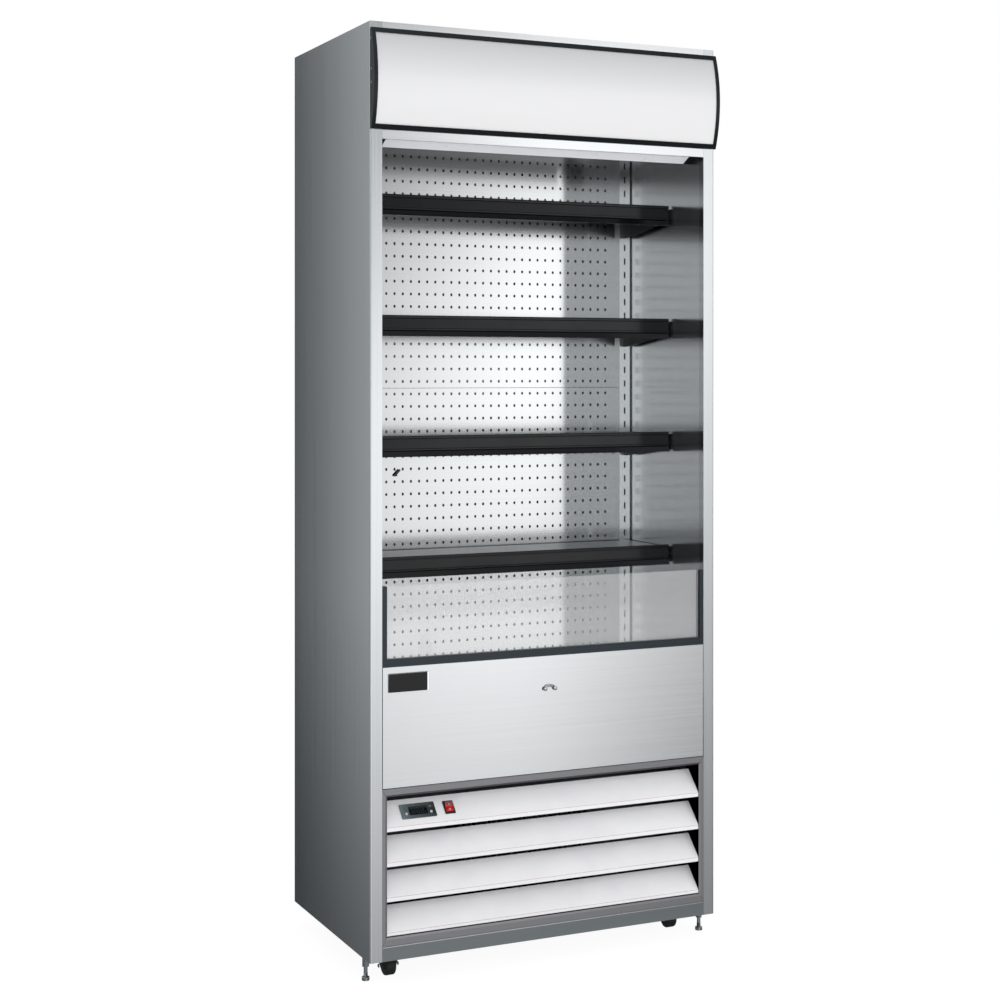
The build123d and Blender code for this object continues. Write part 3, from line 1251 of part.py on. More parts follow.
def wheel(x, y, axle_z):
    """Rubber-treaded wheel with rounded shoulders and a plain bore."""
    half = WHEEL_WIDTH / 2
    bore = AXLE_RADIUS + PIN_CLEAR
    with BuildPart() as tyre:
        with BuildSketch(Plane(origin=(x, y, axle_z), x_dir=(1, 0, 0), z_dir=(0, -1, 0))):
            with BuildLine():
                rim = WHEEL_RADIUS - WHEEL_TREAD_ROUND
                Polyline((-half, rim), (-half, bore), (half, bore), (half, rim))
                RadiusArc((half, rim), (half - WHEEL_TREAD_ROUND, WHEEL_RADIUS), -WHEEL_TREAD_ROUND)
                Line((half - WHEEL_TREAD_ROUND, WHEEL_RADIUS), (-half + WHEEL_TREAD_ROUND, WHEEL_RADIUS))
                RadiusArc((-half + WHEEL_TREAD_ROUND, WHEEL_RADIUS), (-half, rim), -WHEEL_TREAD_ROUND)
            make_face()
        revolve(axis=Axis((x, y, axle_z), (1, 0, 0)))
    return tyre


# ================================================================ machine bay
COIL_BACK = COIL_DEPTH + COIL_DEEP
SHROUD_FRONT = COIL_BACK + FIT
FAN_HEIGHT = (COIL_BOTTOM + COIL_TOP) / 2
FAN_DEPTH = SHROUD_FRONT + SHROUD_DEEP / 2


def finned_coil(x_pair, depth_pair, height_pair, fins):
    """Coil block grooved on its two open faces, for use in a part block."""
    x_low, x_high = x_pair
    front, back = depth_pair
    low, high = height_pair
    pitch = (x_high - x_low) / fins
    groove = (back - front) / 4
    block(x_pair, depth_pair, height_pair)
    for index in range(fins):
        middle = x_low + pitch * (index + 0.5)
        gap = (middle - pitch * FIN_GAP_SHARE / 2, middle + pitch * FIN_GAP_SHARE / 2)
        block(gap, (front - SHEET, front + groove), (low + SHEET, high - SHEET), mode=Mode.SUBTRACT)
        block(gap, (back - groove, back + SHEET), (low + SHEET, high - SHEET), mode=Mode.SUBTRACT)


def condenser_coil():
    """Finned condenser on two feet behind the louvres, with return bends at its ends."""
    x_pair = (COIL_X - COIL_HALF_WIDTH, COIL_X + COIL_HALF_WIDTH)
    with BuildPart() as coil:
        finned_coil(x_pair, (COIL_DEPTH, COIL_BACK), (COIL_BOTTOM, COIL_TOP), COIL_FINS)
        for x in x_pair:
            inward = 1 if x < COIL_X else -1
            foot = (x, x + inward * COIL_TUBE * 3)
            block(foot, (COIL_DEPTH, COIL_BACK), (BASE_T + FIT, COIL_BOTTOM + SHEET))
            with BuildSketch(Plane.YZ.offset(x)):
                pitch = (COIL_TOP - COIL_BOTTOM) / (COIL_TUBE_ROWS + 1)
                tube_y = depth_y(COIL_DEPTH + COIL_DEEP / 2)
                for row in range(1, COIL_TUBE_ROWS + 1):
                    with Locations((tube_y, height_z(COIL_BOTTOM + row * pitch))):
                        SlotOverall(COIL_DEEP * 2 / 3, 2 * COIL_TUBE)
            extrude(amount=-inward * COIL_TUBE * 2)
    return coil


def fan_shroud():
    """Full-width air baffle with a shroud and round mouth behind the coil, and the motor on struts."""
    x_pair = (COIL_X - COIL_HALF_WIDTH, COIL_X + COIL_HALF_WIDTH)
    baffle_half = HALF_WIDTH - SHEET - BASE_T - 2 * FIT
    rim = FAN_RADIUS + FAN_CLEAR
    plate = SHROUD_FRONT + SHROUD_DEEP
    motor_front = plate + STRUT + FAN_CLEAR
    centre = (COIL_X, height_z(FAN_HEIGHT))
    with BuildPart() as shroud:
        block(x_pair, (SHROUD_FRONT, plate), (COIL_BOTTOM, COIL_TOP))
        block((-baffle_half, baffle_half), (plate - SHROUD_T, plate), (BASE_T + FIT, FLOOR_PAN - FIT))
        hollow = (x_pair[0] + SHROUD_T, x_pair[1] - SHROUD_T)
        heights = (COIL_BOTTOM + SHROUD_T, COIL_TOP - SHROUD_T)
        block(hollow, (SHROUD_FRONT - SHEET, plate - SHROUD_T), heights, mode=Mode.SUBTRACT)
        with BuildSketch(Plane.XZ.offset(-depth_y(plate))):
            with Locations(centre):
                Circle(rim)
        extrude(amount=2 * SHROUD_T, both=True, mode=Mode.SUBTRACT)
        with BuildSketch(Plane.XZ.offset(-depth_y(plate + STRUT))):
            with Locations(centre):
                Rectangle(2 * rim + 2 * STRUT, STRUT)
                Rectangle(STRUT, 2 * rim + 2 * STRUT)
        extrude(amount=STRUT)
        with BuildSketch(Plane.XZ.offset(-depth_y(motor_front + MOTOR_LENGTH))):
            with Locations(centre):
                Circle(MOTOR_RADIUS)
        extrude(amount=MOTOR_LENGTH + FAN_CLEAR + STRUT)
        with BuildSketch(Plane.XZ.offset(-depth_y(motor_front + MOTOR_LENGTH / 2))):
            with Locations(centre):
                Circle(FAN_SHAFT + PIN_CLEAR)
        extrude(amount=ANY, mode=Mode.SUBTRACT)
    return shroud


def condenser_fan():
    """Axial fan: hub, pitched blades and the shaft that runs back into the motor."""
    back = FAN_DEPTH + FAN_DEEP / 2
    motor_front = SHROUD_FRONT + SHROUD_DEEP + STRUT + FAN_CLEAR
    centre = (COIL_X, height_z(FAN_HEIGHT))
    origin = (COIL_X, depth_y(FAN_DEPTH), height_z(FAN_HEIGHT))
    with BuildPart() as fan:
        with BuildSketch(Plane.XZ.offset(-depth_y(back))):
            with Locations(centre):
                Circle(FAN_HUB)
        extrude(amount=FAN_DEEP)
        for index in range(FAN_BLADES):
            turn = 2 * pi / FAN_BLADES * index
            outward = (cos(turn), 0, sin(turn))
            blade = Plane(origin=origin, x_dir=(0, 1, 0), z_dir=outward)
            with BuildSketch(blade.offset(FAN_HUB - 2 * BLADE_T)):
                Rectangle(BLADE_CHORD / 2, BLADE_T, rotation=BLADE_ROOT_PITCH)
            with BuildSketch(blade.offset(FAN_RADIUS + FAN_CLEAR)):
                Rectangle(BLADE_CHORD, BLADE_T, rotation=BLADE_TIP_PITCH)
            loft()
        with BuildSketch(Plane.XZ.offset(-depth_y(back))):
            with Locations(centre):
                Circle(2 * FAN_RADIUS)
                Circle(FAN_RADIUS, mode=Mode.SUBTRACT)
        extrude(amount=ANY, both=True, mode=Mode.SUBTRACT)
        with BuildSketch(Plane.XZ.offset(-depth_y(motor_front + MOTOR_LENGTH / 3))):
            with Locations(centre):
                Circle(FAN_SHAFT)
        extrude(amount=motor_front + MOTOR_LENGTH / 3 - back + SHEET)
    return fan


def compressor():
    """Hermetic compressor: domed pot on a footed plate with rubber-height spacers."""
    place = (COMPRESSOR_X, depth_y(COMPRESSOR_DEPTH))
    with BuildPart() as pot:
        with BuildSketch(Plane.XY.offset(height_z(COMPRESSOR_LIFT))):
            with Locations(place):
                RectangleRounded(COMPRESSOR_PLATE_WIDTH, COMPRESSOR_PLATE_LENGTH, STRUT)
        extrude(amount=2 * BASE_T)
        with BuildSketch(Plane.XY.offset(height_z(BASE_T + FIT))):
            with Locations(place):
                with GridLocations(COMPRESSOR_FEET_ACROSS, COMPRESSOR_FEET_ALONG, 2, 2):
                    Circle(STRUT)
        extrude(amount=COMPRESSOR_LIFT - BASE_T - FIT + SHEET)
        with BuildSketch(Plane.XY.offset(height_z(COMPRESSOR_LIFT + BASE_T))):
            with Locations(place):
                Ellipse(COMPRESSOR_RADIUS, COMPRESSOR_OVAL)
        extrude(amount=COMPRESSOR_HEIGHT - BASE_T)
        top = pot.faces().sort_by(Axis.Z)[-1]
        fillet(top.edges(), COMPRESSOR_DOME)
    return pot


def drip_tray():
    """Open evaporation tray for the meltwater, beside the compressor."""
    half_width = TRAY_WIDTH / 2
    half_length = TRAY_LENGTH / 2
    low = BASE_T + FIT
    with BuildPart() as tray:
        x_pair = (TRAY_X - half_width, TRAY_X + half_width)
        depths = (TRAY_DEPTH - half_length, TRAY_DEPTH + half_length)
        block(x_pair, depths, (low, low + TRAY_TALL))
        inner_x = (x_pair[0] + TRAY_WALL, x_pair[1] - TRAY_WALL)
        inner_depths = (depths[0] + TRAY_WALL, depths[1] - TRAY_WALL)
        block(inner_x, inner_depths, (low + TRAY_WALL, low + TRAY_TALL + SHEET), mode=Mode.SUBTRACT)
    return tray


# ================================================================ air side
EVAP_FRONT = DUCT_PANEL + SHEET + (REAR_LINER - DUCT_PANEL - SHEET - EVAP_DEEP) / 2
BLOWER_DEPTH = EVAP_FRONT + EVAP_DEEP / 2
BLOWER_REACH = BLOWER_HALF + BLOWER_END_GAP


def evaporator_coil():
    """Finned evaporator in the duct, on end plates that also carry the blower's bearings."""
    x_pair = (-EVAP_HALF_WIDTH, EVAP_HALF_WIDTH)
    plate_x = EVAP_HALF_WIDTH
    arm_low = BLOWER_HEIGHT - BLOWER_RADIUS / 2
    with BuildPart() as coil:
        finned_coil(x_pair, (EVAP_FRONT, EVAP_FRONT + EVAP_DEEP), (EVAP_BOTTOM, EVAP_TOP), EVAP_FINS)
        for side in (-1, 1):
            plate = (side * plate_x, side * (plate_x + BLOWER_PLATE))
            depths = (DUCT_PANEL + SHEET + FIT, REAR_LINER - FIT)
            block(plate, depths, (EVAP_BOTTOM - STRUT, EVAP_TOP + STRUT))
            arm = (side * BLOWER_REACH, side * (BLOWER_REACH + BLOWER_PLATE))
            arm_depths = (BLOWER_DEPTH - BLOWER_RADIUS / 2, BLOWER_DEPTH + BLOWER_RADIUS / 2)
            block(arm, arm_depths, (arm_low, EVAP_BOTTOM + SHEET))
        with BuildSketch(Plane.YZ):
            with Locations((depth_y(BLOWER_DEPTH), height_z(BLOWER_HEIGHT))):
                Circle(BLOWER_SHAFT + PIN_CLEAR)
        extrude(amount=BLOWER_REACH + 2 * BLOWER_PLATE, both=True, mode=Mode.SUBTRACT)
    return coil


def evaporator_blower():
    """Cross-flow rotor: three discs, a ring of slats and a through shaft."""
    centre = (depth_y(BLOWER_DEPTH), height_z(BLOWER_HEIGHT))
    slat_ring = BLOWER_RADIUS - BLOWER_SLAT_INSET
    with BuildPart() as rotor:
        for x in (-BLOWER_HALF, -BLOWER_PLATE / 2, BLOWER_HALF - BLOWER_PLATE):
            with BuildSketch(Plane.YZ.offset(x)):
                with Locations(centre):
                    Circle(BLOWER_RADIUS)
            extrude(amount=BLOWER_PLATE)
        with BuildSketch(Plane.YZ.offset(-BLOWER_HALF)):
            with Locations(centre):
                with PolarLocations(slat_ring, BLOWER_BLADES):
                    Rectangle(BLOWER_SLAT, BLOWER_SLAT_T, rotation=BLOWER_SLAT_LEAN)
        extrude(amount=2 * BLOWER_HALF)
        with BuildSketch(Plane.YZ):
            with Locations(centre):
                Circle(BLOWER_SHAFT)
        extrude(amount=BLOWER_REACH + BLOWER_PLATE, both=True)
    return rotor


def probe_clip():
    """Spring clip on the back panel holding the slanted temperature bulb."""
    face = DUCT_PANEL - FIT
    centre = (PROBE_X, depth_y(face - 2 * PROBE_RADIUS), height_z(PROBE_HEIGHT))
    with BuildPart() as clip:
        with BuildSketch(Plane(origin=centre, x_dir=(0, 1, 0), z_dir=(1, 0, 1))):
            Circle(PROBE_RADIUS)
        extrude(amount=PROBE_LENGTH / 2, both=True)
        plate_x = (PROBE_X - PROBE_RADIUS, PROBE_X + PROBE_RADIUS)
        plate_heights = (PROBE_HEIGHT - 3 * PROBE_RADIUS, PROBE_HEIGHT + 2 * PROBE_RADIUS)
        block(plate_x, (face, face - SHEET), plate_heights)
        grip_heights = (PROBE_HEIGHT - PROBE_RADIUS / 2, PROBE_HEIGHT + PROBE_RADIUS / 2)
        block(plate_x, (face, face - 2 * PROBE_RADIUS), grip_heights)
    return clip


# ================================================================ build and write
os.makedirs("parts", exist_ok=True)

keep(side_skin(-1), "side_skin_left")
keep(side_skin(1), "side_skin_right")
keep(cabinet_liners(), "cabinet_liners")
keep(foam_insulation(), "foam_insulation")
keep(rear_panel(), "rear_panel")
keep(top_panel(), "top_panel")
keep(header_panel(), "header_panel")
keep(canopy_frame(), "canopy_frame")
keep(canopy_lens(), "canopy_lens")
keep(canopy_tray(), "canopy_tray")
keep(canopy_lamps(), "canopy_lamps")
keep(duct_panels(), "duct_panels")
keep(ceiling_panel(), "ceiling_panel")
keep(air_honeycomb(), "air_honeycomb")
keep(shelf_uprights(), "shelf_uprights")
for number, level in enumerate(shelf_levels(), start=1):
    keep(shelf_plate(level), f"shelf_plate_{number}")
keep(ticket_strips(), "ticket_strips")
keep(shelf_brackets(), "shelf_brackets")
keep(well_tray(), "well_tray")
keep(deck_pan(), "deck_pan")
keep(front_panel(), "front_panel")
keep(glass_channel(), "glass_channel")
keep(glass_riser(), "glass_riser")
keep(grille_frame(), "grille_frame")
keep(louvre_blades(), "louvre_blades")
keep(controller_body(), "controller_body")
for number, place in enumerate(key_places(), start=1):
    keep(controller_key(place), f"controller_key_{number}")
keep(switch_bezel(), "switch_bezel")
keep(rocker(), "switch_rocker")
keep(blind_brackets(), "blind_brackets")
keep(blind_roller(), "blind_roller")
keep(blind_fabric(), "blind_fabric")
keep(blind_bar(), "blind_bar")
keep(lamp_housing(), "lamp_housing")
keep(lamp_diffuser(), "lamp_diffuser")
keep(blind_catch(), "blind_catch")
keep(base_pan(), "base_pan")
for side, name, trail in ((-1, "left", -1), (1, "right", 1)):
    keep(levelling_foot(side), f"foot_{name}")
    keep(caster_fork(side, trail), f"caster_fork_{name}")
    front_wheel_y = depth_y(CASTER_DEPTH) + trail * CASTER_TRAIL
    keep(wheel(side * CASTER_X, front_wheel_y, FRONT_AXLE_Z), f"front_wheel_{name}")
    keep(wheel(side * CASTER_X, depth_y(REAR_WHEEL_DEPTH), REAR_AXLE_Z), f"rear_wheel_{name}")
keep(condenser_coil(), "condenser_coil")
keep(fan_shroud(), "fan_shroud")
keep(condenser_fan(), "condenser_fan")
keep(compressor(), "compressor")
keep(drip_tray(), "drip_tray")
keep(evaporator_coil(), "evaporator_coil")
keep(evaporator_blower(), "evaporator_blower")
keep(probe_clip(), "probe_clip")
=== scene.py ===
# %% [markdown]
# # An open multideck display fridge
# The real object is a shop fridge with no door: a tall stainless cabinet, four hung shelves with
# black price channels, a curved light box on top, a glass riser and a louvred machine bay below.
# Every hard part was drawn in CAD, so most of this file finishes those parts rather than makes
# them. The first cell loads them, and a helper reads the box that each part fills.

from math import atan2, cos, hypot, pi, radians, sin

import bmesh
import bpy
from mathutils import Matrix, Vector


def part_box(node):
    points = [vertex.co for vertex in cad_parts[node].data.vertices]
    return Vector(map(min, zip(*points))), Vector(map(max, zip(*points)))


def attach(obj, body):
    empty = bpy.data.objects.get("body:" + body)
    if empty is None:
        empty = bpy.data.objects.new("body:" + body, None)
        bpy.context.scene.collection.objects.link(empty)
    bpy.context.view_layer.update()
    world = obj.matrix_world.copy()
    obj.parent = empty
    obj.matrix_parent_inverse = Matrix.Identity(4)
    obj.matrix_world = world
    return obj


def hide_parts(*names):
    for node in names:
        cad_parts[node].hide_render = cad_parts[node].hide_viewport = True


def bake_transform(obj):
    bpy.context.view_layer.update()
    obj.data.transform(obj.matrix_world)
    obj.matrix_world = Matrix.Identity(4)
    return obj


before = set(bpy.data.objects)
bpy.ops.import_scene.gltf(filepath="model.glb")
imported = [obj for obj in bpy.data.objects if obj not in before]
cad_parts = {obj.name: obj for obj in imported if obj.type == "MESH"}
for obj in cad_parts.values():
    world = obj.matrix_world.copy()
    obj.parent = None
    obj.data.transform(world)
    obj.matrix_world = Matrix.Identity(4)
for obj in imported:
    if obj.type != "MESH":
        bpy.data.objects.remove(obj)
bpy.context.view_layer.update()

# %% [markdown]
# ## Reference places
# The fridge stands on the floor at the origin, and its front faces -Y. The CAD works from the
# cabinet's front plane and base, in millimetres, so the same two references are used here: a
# depth behind the front plane, and a height above the cabinet's base. One helper turns them
# into a point in metres, and everything that is added later is placed with it.

# %% Depth and height to metres
MM = 0.001
FRONT_Y = -0.227
BASE_Z = 0.048


def place(x_mm, depth_mm, height_mm):
    """A point in metres from x, the depth behind the front and the height over the base, in mm."""
    return Vector((x_mm * MM, FRONT_Y + depth_mm * MM, BASE_Z + height_mm * MM))


print("middle of the front panel:", tuple(round(v, 4) for v in place(0, 0, 473)))

# %% [markdown]
# ## Camera
# The photograph was taken from the left of the fridge at chest height, with a level camera whose
# frame was shifted so that the verticals stay upright. Blender can do exactly that: the camera
# keeps its level rotation, and shift_y moves the frame down instead of tilting it.

# %% Camera
CAMERA_PLACE = (-1.7017, -3.6411, 1.2436)
CAMERA_YAW = 24.92
CAMERA_LENS = 64.97
FRAME_SHIFT = -0.1282

camera_data = bpy.data.cameras.new("camera")
camera_data.sensor_width = 36.0
camera_data.lens = CAMERA_LENS
camera_data.shift_y = FRAME_SHIFT
camera = bpy.data.objects.new("camera", camera_data)
camera.location = CAMERA_PLACE
camera.rotation_euler = (radians(90), 0, radians(-CAMERA_YAW))
bpy.context.scene.collection.objects.link(camera)
bpy.context.scene.camera = camera
print("camera at", CAMERA_PLACE, "lens", CAMERA_LENS)

# %% [markdown]
# ## Helpers for finishes
# A colour is written as an sRGB hex value, as a paint chart gives it, and one function turns it
# into the linear value that a shader wants. A second function adds one node, with its settings
# and its links, so that each finish below reads as a short recipe.

# %% Colour and node helpers


def srgb(hex_text):
    """An sRGB hex colour as the linear RGBA that a shader socket takes."""
    channels = [int(hex_text[i : i + 2], 16) / 255 for i in (0, 2, 4)]
    linear = [c / 12.92 if c <= 0.04045 else ((c + 0.055) / 1.055) ** 2.4 for c in channels]
    return (*linear, 1.0)


def add_node(tree, kind, inputs=(), stops=(), **settings):
    """Adds a node. inputs maps a socket to a value or to the output that feeds it.

    stops are a colour ramp's (position, hex colour) pairs.
    """
    node = tree.nodes.new(kind)
    for name, value in settings.items():
        setattr(node, name, value)
    for socket, value in dict(inputs).items():
        if isinstance(value, bpy.types.NodeSocket):
            tree.links.new(value, node.inputs[socket])
        else:
            node.inputs[socket].default_value = value
    if stops:
        elements = node.color_ramp.elements
        while len(elements) < len(stops):
            elements.new(1.0)
        for element, (position, colour) in zip(elements, stops):
            element.position = position
            element.color = srgb(colour)
    return node


print("mid grey as linear:", round(srgb("808080")[0], 3))

# %% [markdown]
# ## One material from one shader
# Every finish starts in the same way, with one Principled shader. Values that are the same all
# over are set on its sockets. What changes over the surface is linked in afterwards, and replaces
# them. The finishes are kept in a dictionary by name, so that the pieces can ask for them.

# %% Material helpers
FINISHES = {}


def new_finish(name, colour, **shader_values):
    """A material with one Principled shader, and the shader's constant values set on its sockets."""
    finish = bpy.data.materials.new(name)
    finish.use_nodes = True
    tree = finish.node_tree
    shader = tree.nodes["Principled BSDF"]
    shader.inputs["Base Color"].default_value = srgb(colour)
    for socket, value in shader_values.items():
        shader.inputs[socket.replace("_", " ")].default_value = value
    finish.diffuse_color = srgb(colour)
    FINISHES[name] = finish
    return tree, shader


def feed(tree, shader, outputs):
    """Links outputs into the sockets of a shader, given as socket: output."""
    for socket, output in outputs.items():
        tree.links.new(output, shader.inputs[socket])


print("finish helpers ready")

# %% [markdown]
# ## Patterns at their real size
# A pattern has to stay on its piece and have its real size in millimetres. So it reads the piece's
# own coordinates, in metres, and divides them by a size for each axis. A noise then has lumps of
# about that size. Its values crowd round the middle, so only the middle half of its range is
# spread out when it drives a tone or a gloss.

# %% Pattern helpers
NOISE_MIDDLE = {"From Min": 0.25, "From Max": 0.75}
BUMP_DEPTH = 0.1 * MM


def pattern_place(tree, size):
    """The piece's own coordinates, divided by a size in metres for X, Y and Z."""
    coordinates = add_node(tree, "ShaderNodeTexCoord")
    mapping = add_node(
        tree,
        "ShaderNodeMapping",
        {"Vector": coordinates.outputs["Object"], "Scale": [1 / length for length in size]},
    )
    return mapping.outputs["Vector"]


print("bump depth", BUMP_DEPTH / MM, "mm")

# %% [markdown]
# ## Brushed stainless steel
# The cabinet is 304 stainless, rolled and then brushed with a belt, which leaves fine scratches
# in one direction. They are some 0.05 mm apart, too fine to show from four metres, so they are
# drawn as faint streaks 2 mm wide that move tone, roughness and bump together. What the eye
# notices more is the gloss: scratches spread a reflection across themselves and keep it sharp
# along themselves. That is what Anisotropic does, and its tangent has to lie across the
# scratches, so it is the cross product of the surface's normal and the brushing direction.

# %% Brushed metal
STREAK = 2.0 * MM
STREAK_LENGTH = 500 * MM
STREAK_DETAIL = 3.0
GLOSS_CHANGE = 0.08
AXES = {"X": (1, 0, 0), "Y": (0, 1, 0), "Z": (0, 0, 1)}


def brushed_metal(name, brushing, dark, light, roughness, anisotropy, bump=0.03):
    """A metal with its scratches along an axis, and its tone between two greys."""
    tree, shader = new_finish(name, light, Metallic=1.0, Anisotropic=anisotropy)
    size = [STREAK_LENGTH if axis == brushing else STREAK for axis in "XYZ"]
    lumps = {"Vector": pattern_place(tree, size), "Scale": 1.0, "Detail": STREAK_DETAIL}
    streaks = add_node(tree, "ShaderNodeTexNoise", lumps).outputs["Fac"]
    spread_out = add_node(tree, "ShaderNodeMapRange", {"Value": streaks, **NOISE_MIDDLE})
    tone = add_node(
        tree, "ShaderNodeValToRGB", {"Fac": spread_out.outputs["Result"]}, stops=[(0, dark), (1, light)]
    )
    glosses = {"To Min": roughness * (1 - GLOSS_CHANGE), "To Max": roughness * (1 + GLOSS_CHANGE)}
    gloss = add_node(tree, "ShaderNodeMapRange", {"Value": streaks, **NOISE_MIDDLE, **glosses})
    grain = {"Height": streaks, "Strength": bump, "Distance": BUMP_DEPTH}
    raised = add_node(tree, "ShaderNodeBump", grain)
    normal = add_node(tree, "ShaderNodeNewGeometry").outputs["Normal"]
    crossed = {0: normal, 1: AXES[brushing]}
    across = add_node(tree, "ShaderNodeVectorMath", crossed, operation="CROSS_PRODUCT")
    outputs = {"Base Color": tone.outputs["Color"], "Roughness": gloss.outputs["Result"]}
    outputs |= {"Normal": raised.outputs["Normal"], "Tangent": across.outputs["Vector"]}
    feed(tree, shader, outputs)


# Sides and posts: brushed up and down, so what they mirror spreads sideways into soft bands.
brushed_metal("stainless_brushed_upright", "Z", "c9ccce", "d1d4d6", 0.17, 0.80)
# Front panel, header and top: brushed from side to side, so the bands spread up and down.
brushed_metal("stainless_brushed_across", "X", "d4d6d8", "dadcde", 0.18, 0.85)
# Inner side walls: a finer belt, so they are brighter and show their surroundings more.
brushed_metal("stainless_polished_upright", "Z", "dcdfe0", "e2e5e6", 0.21, 0.88, bump=0.02)
# Perforated rear wall: bright-rolled sheet, a little darker, with the clearest reflections.
brushed_metal("stainless_polished_across", "X", "b9bbbc", "bfc1c2", 0.13, 0.88, bump=0.01)
# Shelf plates: a matt satin brushing, which keeps them an even grey.
brushed_metal("stainless_satin", "X", "c6c8ca", "cccecf", 0.32, 0.70)
print("brushed finishes:", len(FINISHES))

# %% [markdown]
# ## Extrusions, chrome and zinc plate
# The grille surround and the glass channel are anodised aluminium extrusions, whose die lines run
# along them, so the same recipe serves with darker greys. The blind's catch is chromed and almost
# a mirror. The feet and screws are zinc plated, which is greyer and rougher. The base is
# galvanised strip, skin-passed between rolls until its crystals are gone, which leaves it smooth.

# %% Other metals
# Clear-anodised aluminium of the grille surround: a dull mid grey with soft edges of light.
brushed_metal("anodised_grey", "X", "96969a", "9e9ea2", 0.36, 0.50)
# Dark-anodised aluminium of the glass channel: a charcoal line with a thin highlight.
brushed_metal("anodised_dark", "X", "3a4044", "42484c", 0.30, 0.50)
# Aluminium as it left the die: pale and slightly satin.
brushed_metal("aluminium_natural", "X", "c6c8ca", "d2d4d6", 0.30, 0.50)
# Zinc-plated steel, dipped in drums: a cold grey without a direction.
brushed_metal("zinc_plate", "Z", "8b9092", "9da2a4", 0.30, 0.00, bump=0.06)
# Galvanised strip of the base: a flat, darker grey along the rail.
brushed_metal("zinc_rail", "X", "878d90", "8f9598", 0.40, 0.60)
# Bright chrome on the catch and the plate's rim: small sharp sparkles.
brushed_metal("chrome_bright", "X", "e2e4e6", "e8eaec", 0.06, 0.00, bump=0.0)
print("metal finishes:", len(FINISHES))

# %% [markdown]
# ## Galvanised back
# The back is plain zinc-coated sheet. Molten zinc freezes in flat crystals, the spangle, here
# about 9 mm across. A Voronoi texture has cells of just that kind, and each takes its own grey.

# %% Galvanised sheet
SPANGLE = 9 * MM
zinc_tree, zinc_shader = new_finish("zinc_sheet", "a3a8aa", Metallic=0.85, Roughness=0.42)
cells = {"Vector": pattern_place(zinc_tree, [SPANGLE] * 3), "Scale": 1.0}
crystals = add_node(zinc_tree, "ShaderNodeTexVoronoi", cells)
crystal_grey = add_node(zinc_tree, "ShaderNodeSeparateColor", {"Color": crystals.outputs["Color"]})
zinc_tone = add_node(
    zinc_tree,
    "ShaderNodeValToRGB",
    {"Fac": crystal_grey.outputs["Red"]},
    stops=[(0, "989da0"), (1, "abb0b2")],
)
feed(zinc_tree, zinc_shader, {"Base Color": zinc_tone.outputs["Color"]})
print("spangle", SPANGLE / MM, "mm")

# %% [markdown]
# ## Powder coat, enamel and moulded plastic
# Powder coat is sprayed as dust and baked, which leaves an orange-peel surface with waves of 1 to
# 2 mm. Moulded plastic has a finer spark-eroded texture. Both are one recipe: a noise of the
# right size that drives a little bump, and a second, larger one that keeps gloss and tone from
# being quite even. The grain is given in millimetres.

# %% Recipe for sprayed and moulded finishes
CLOUD = 60 * MM
GRAIN_DETAIL = 2.0


def coated(name, colour, shade, roughness, grain, bump, uneven=0.15, **shader_values):
    """A non-metal skin with a grain of that size in mm, and a slow change between two tones."""
    tree, shader = new_finish(name, colour, **shader_values)
    peel, clouds = (
        add_node(
            tree,
            "ShaderNodeTexNoise",
            {"Vector": pattern_place(tree, [size] * 3), "Scale": 1.0, "Detail": GRAIN_DETAIL},
        ).outputs["Fac"]
        for size in (grain * MM, CLOUD)
    )
    raised = add_node(tree, "ShaderNodeBump", {"Height": peel, "Strength": bump, "Distance": BUMP_DEPTH})
    glosses = {"To Min": roughness * (1 - uneven), "To Max": roughness * (1 + uneven)}
    gloss = add_node(tree, "ShaderNodeMapRange", {"Value": clouds, **NOISE_MIDDLE, **glosses})
    tone = add_node(tree, "ShaderNodeValToRGB", {"Fac": clouds}, stops=[(0.3, shade), (0.7, colour)])
    outputs = {"Base Color": tone.outputs["Color"], "Roughness": gloss.outputs["Result"]}
    feed(tree, shader, outputs | {"Normal": raised.outputs["Normal"]})


print("cloud size", CLOUD / MM, "mm")

# %% [markdown]
# ## The coats, plastics and rubbers of this fridge
# Each line is one finish: its two tones, its roughness, the size of its grain and how far that
# stands out. The refractive index is the real one, about 1.5 for most paints and plastics. The
# black trims reflect less than that gives, so their specular level comes down.

# %% Sprayed and moulded finishes
# White polyester powder on the louvres and trays: bright and soft, with a faint orange peel.
coated("powder_coat_white", "f2f2f4", "ededf0", 0.40, 1.5, 0.20, IOR=1.5)
# Black polyester powder on the brackets, forks and fan shroud: dark without a shine. On the fan shroud the
# black is also painted shade for the dark bay behind the louvres.
coated("powder_coat_black", "131516", "17191b", 0.42, 1.5, 0.25, IOR=1.5)
# Satin black paint on the canopy's frame: a thin crisp outline round the light box.
coated("frame_black", "0b1012", "101517", 0.30, 1.2, 0.08, IOR=1.5, Specular_IOR_Level=0.3)
# Extruded PVC of the price channels: smooth, with long soft lights along the lips.
coated("label_channel_black", "07090c", "0a0d10", 0.16, 2.5, 0.03, IOR=1.45, Specular_IOR_Level=0.3)
# Gloss black lacquer of the plain plate: nearly a black mirror.
coated("plate_black", "040405", "060607", 0.12, 3.0, 0.02, IOR=1.5, Specular_IOR_Level=0.3)
# Moulded ABS with a spark-eroded texture: a fine grain that breaks the highlights.
coated("abs_black", "0e1112", "121517", 0.35, 0.6, 0.30, IOR=1.54)
coated("abs_grey", "55595b", "4e5254", 0.42, 0.6, 0.30, IOR=1.54)
# Moulded rubber of the wheels: matt and slightly dusty. The same black makes the painted shadow in the gap
# under the lowest blade.
coated("rubber_black", "101010", "161616", 0.60, 0.8, 0.35, IOR=1.52)
# Stoving enamel on the compressor and condenser: a deep black gloss. On the condenser the black is also
# painted shade for the dark bay behind the louvres.
coated("enamel_black", "0d0d0e", "111112", 0.18, 3.0, 0.08, IOR=1.5)
# Moulded polycarbonate of the rocker: clear red with a wet look.
coated("polycarbonate_red", "a30c10", "95090c", 0.14, 2.0, 0.03, IOR=1.58)
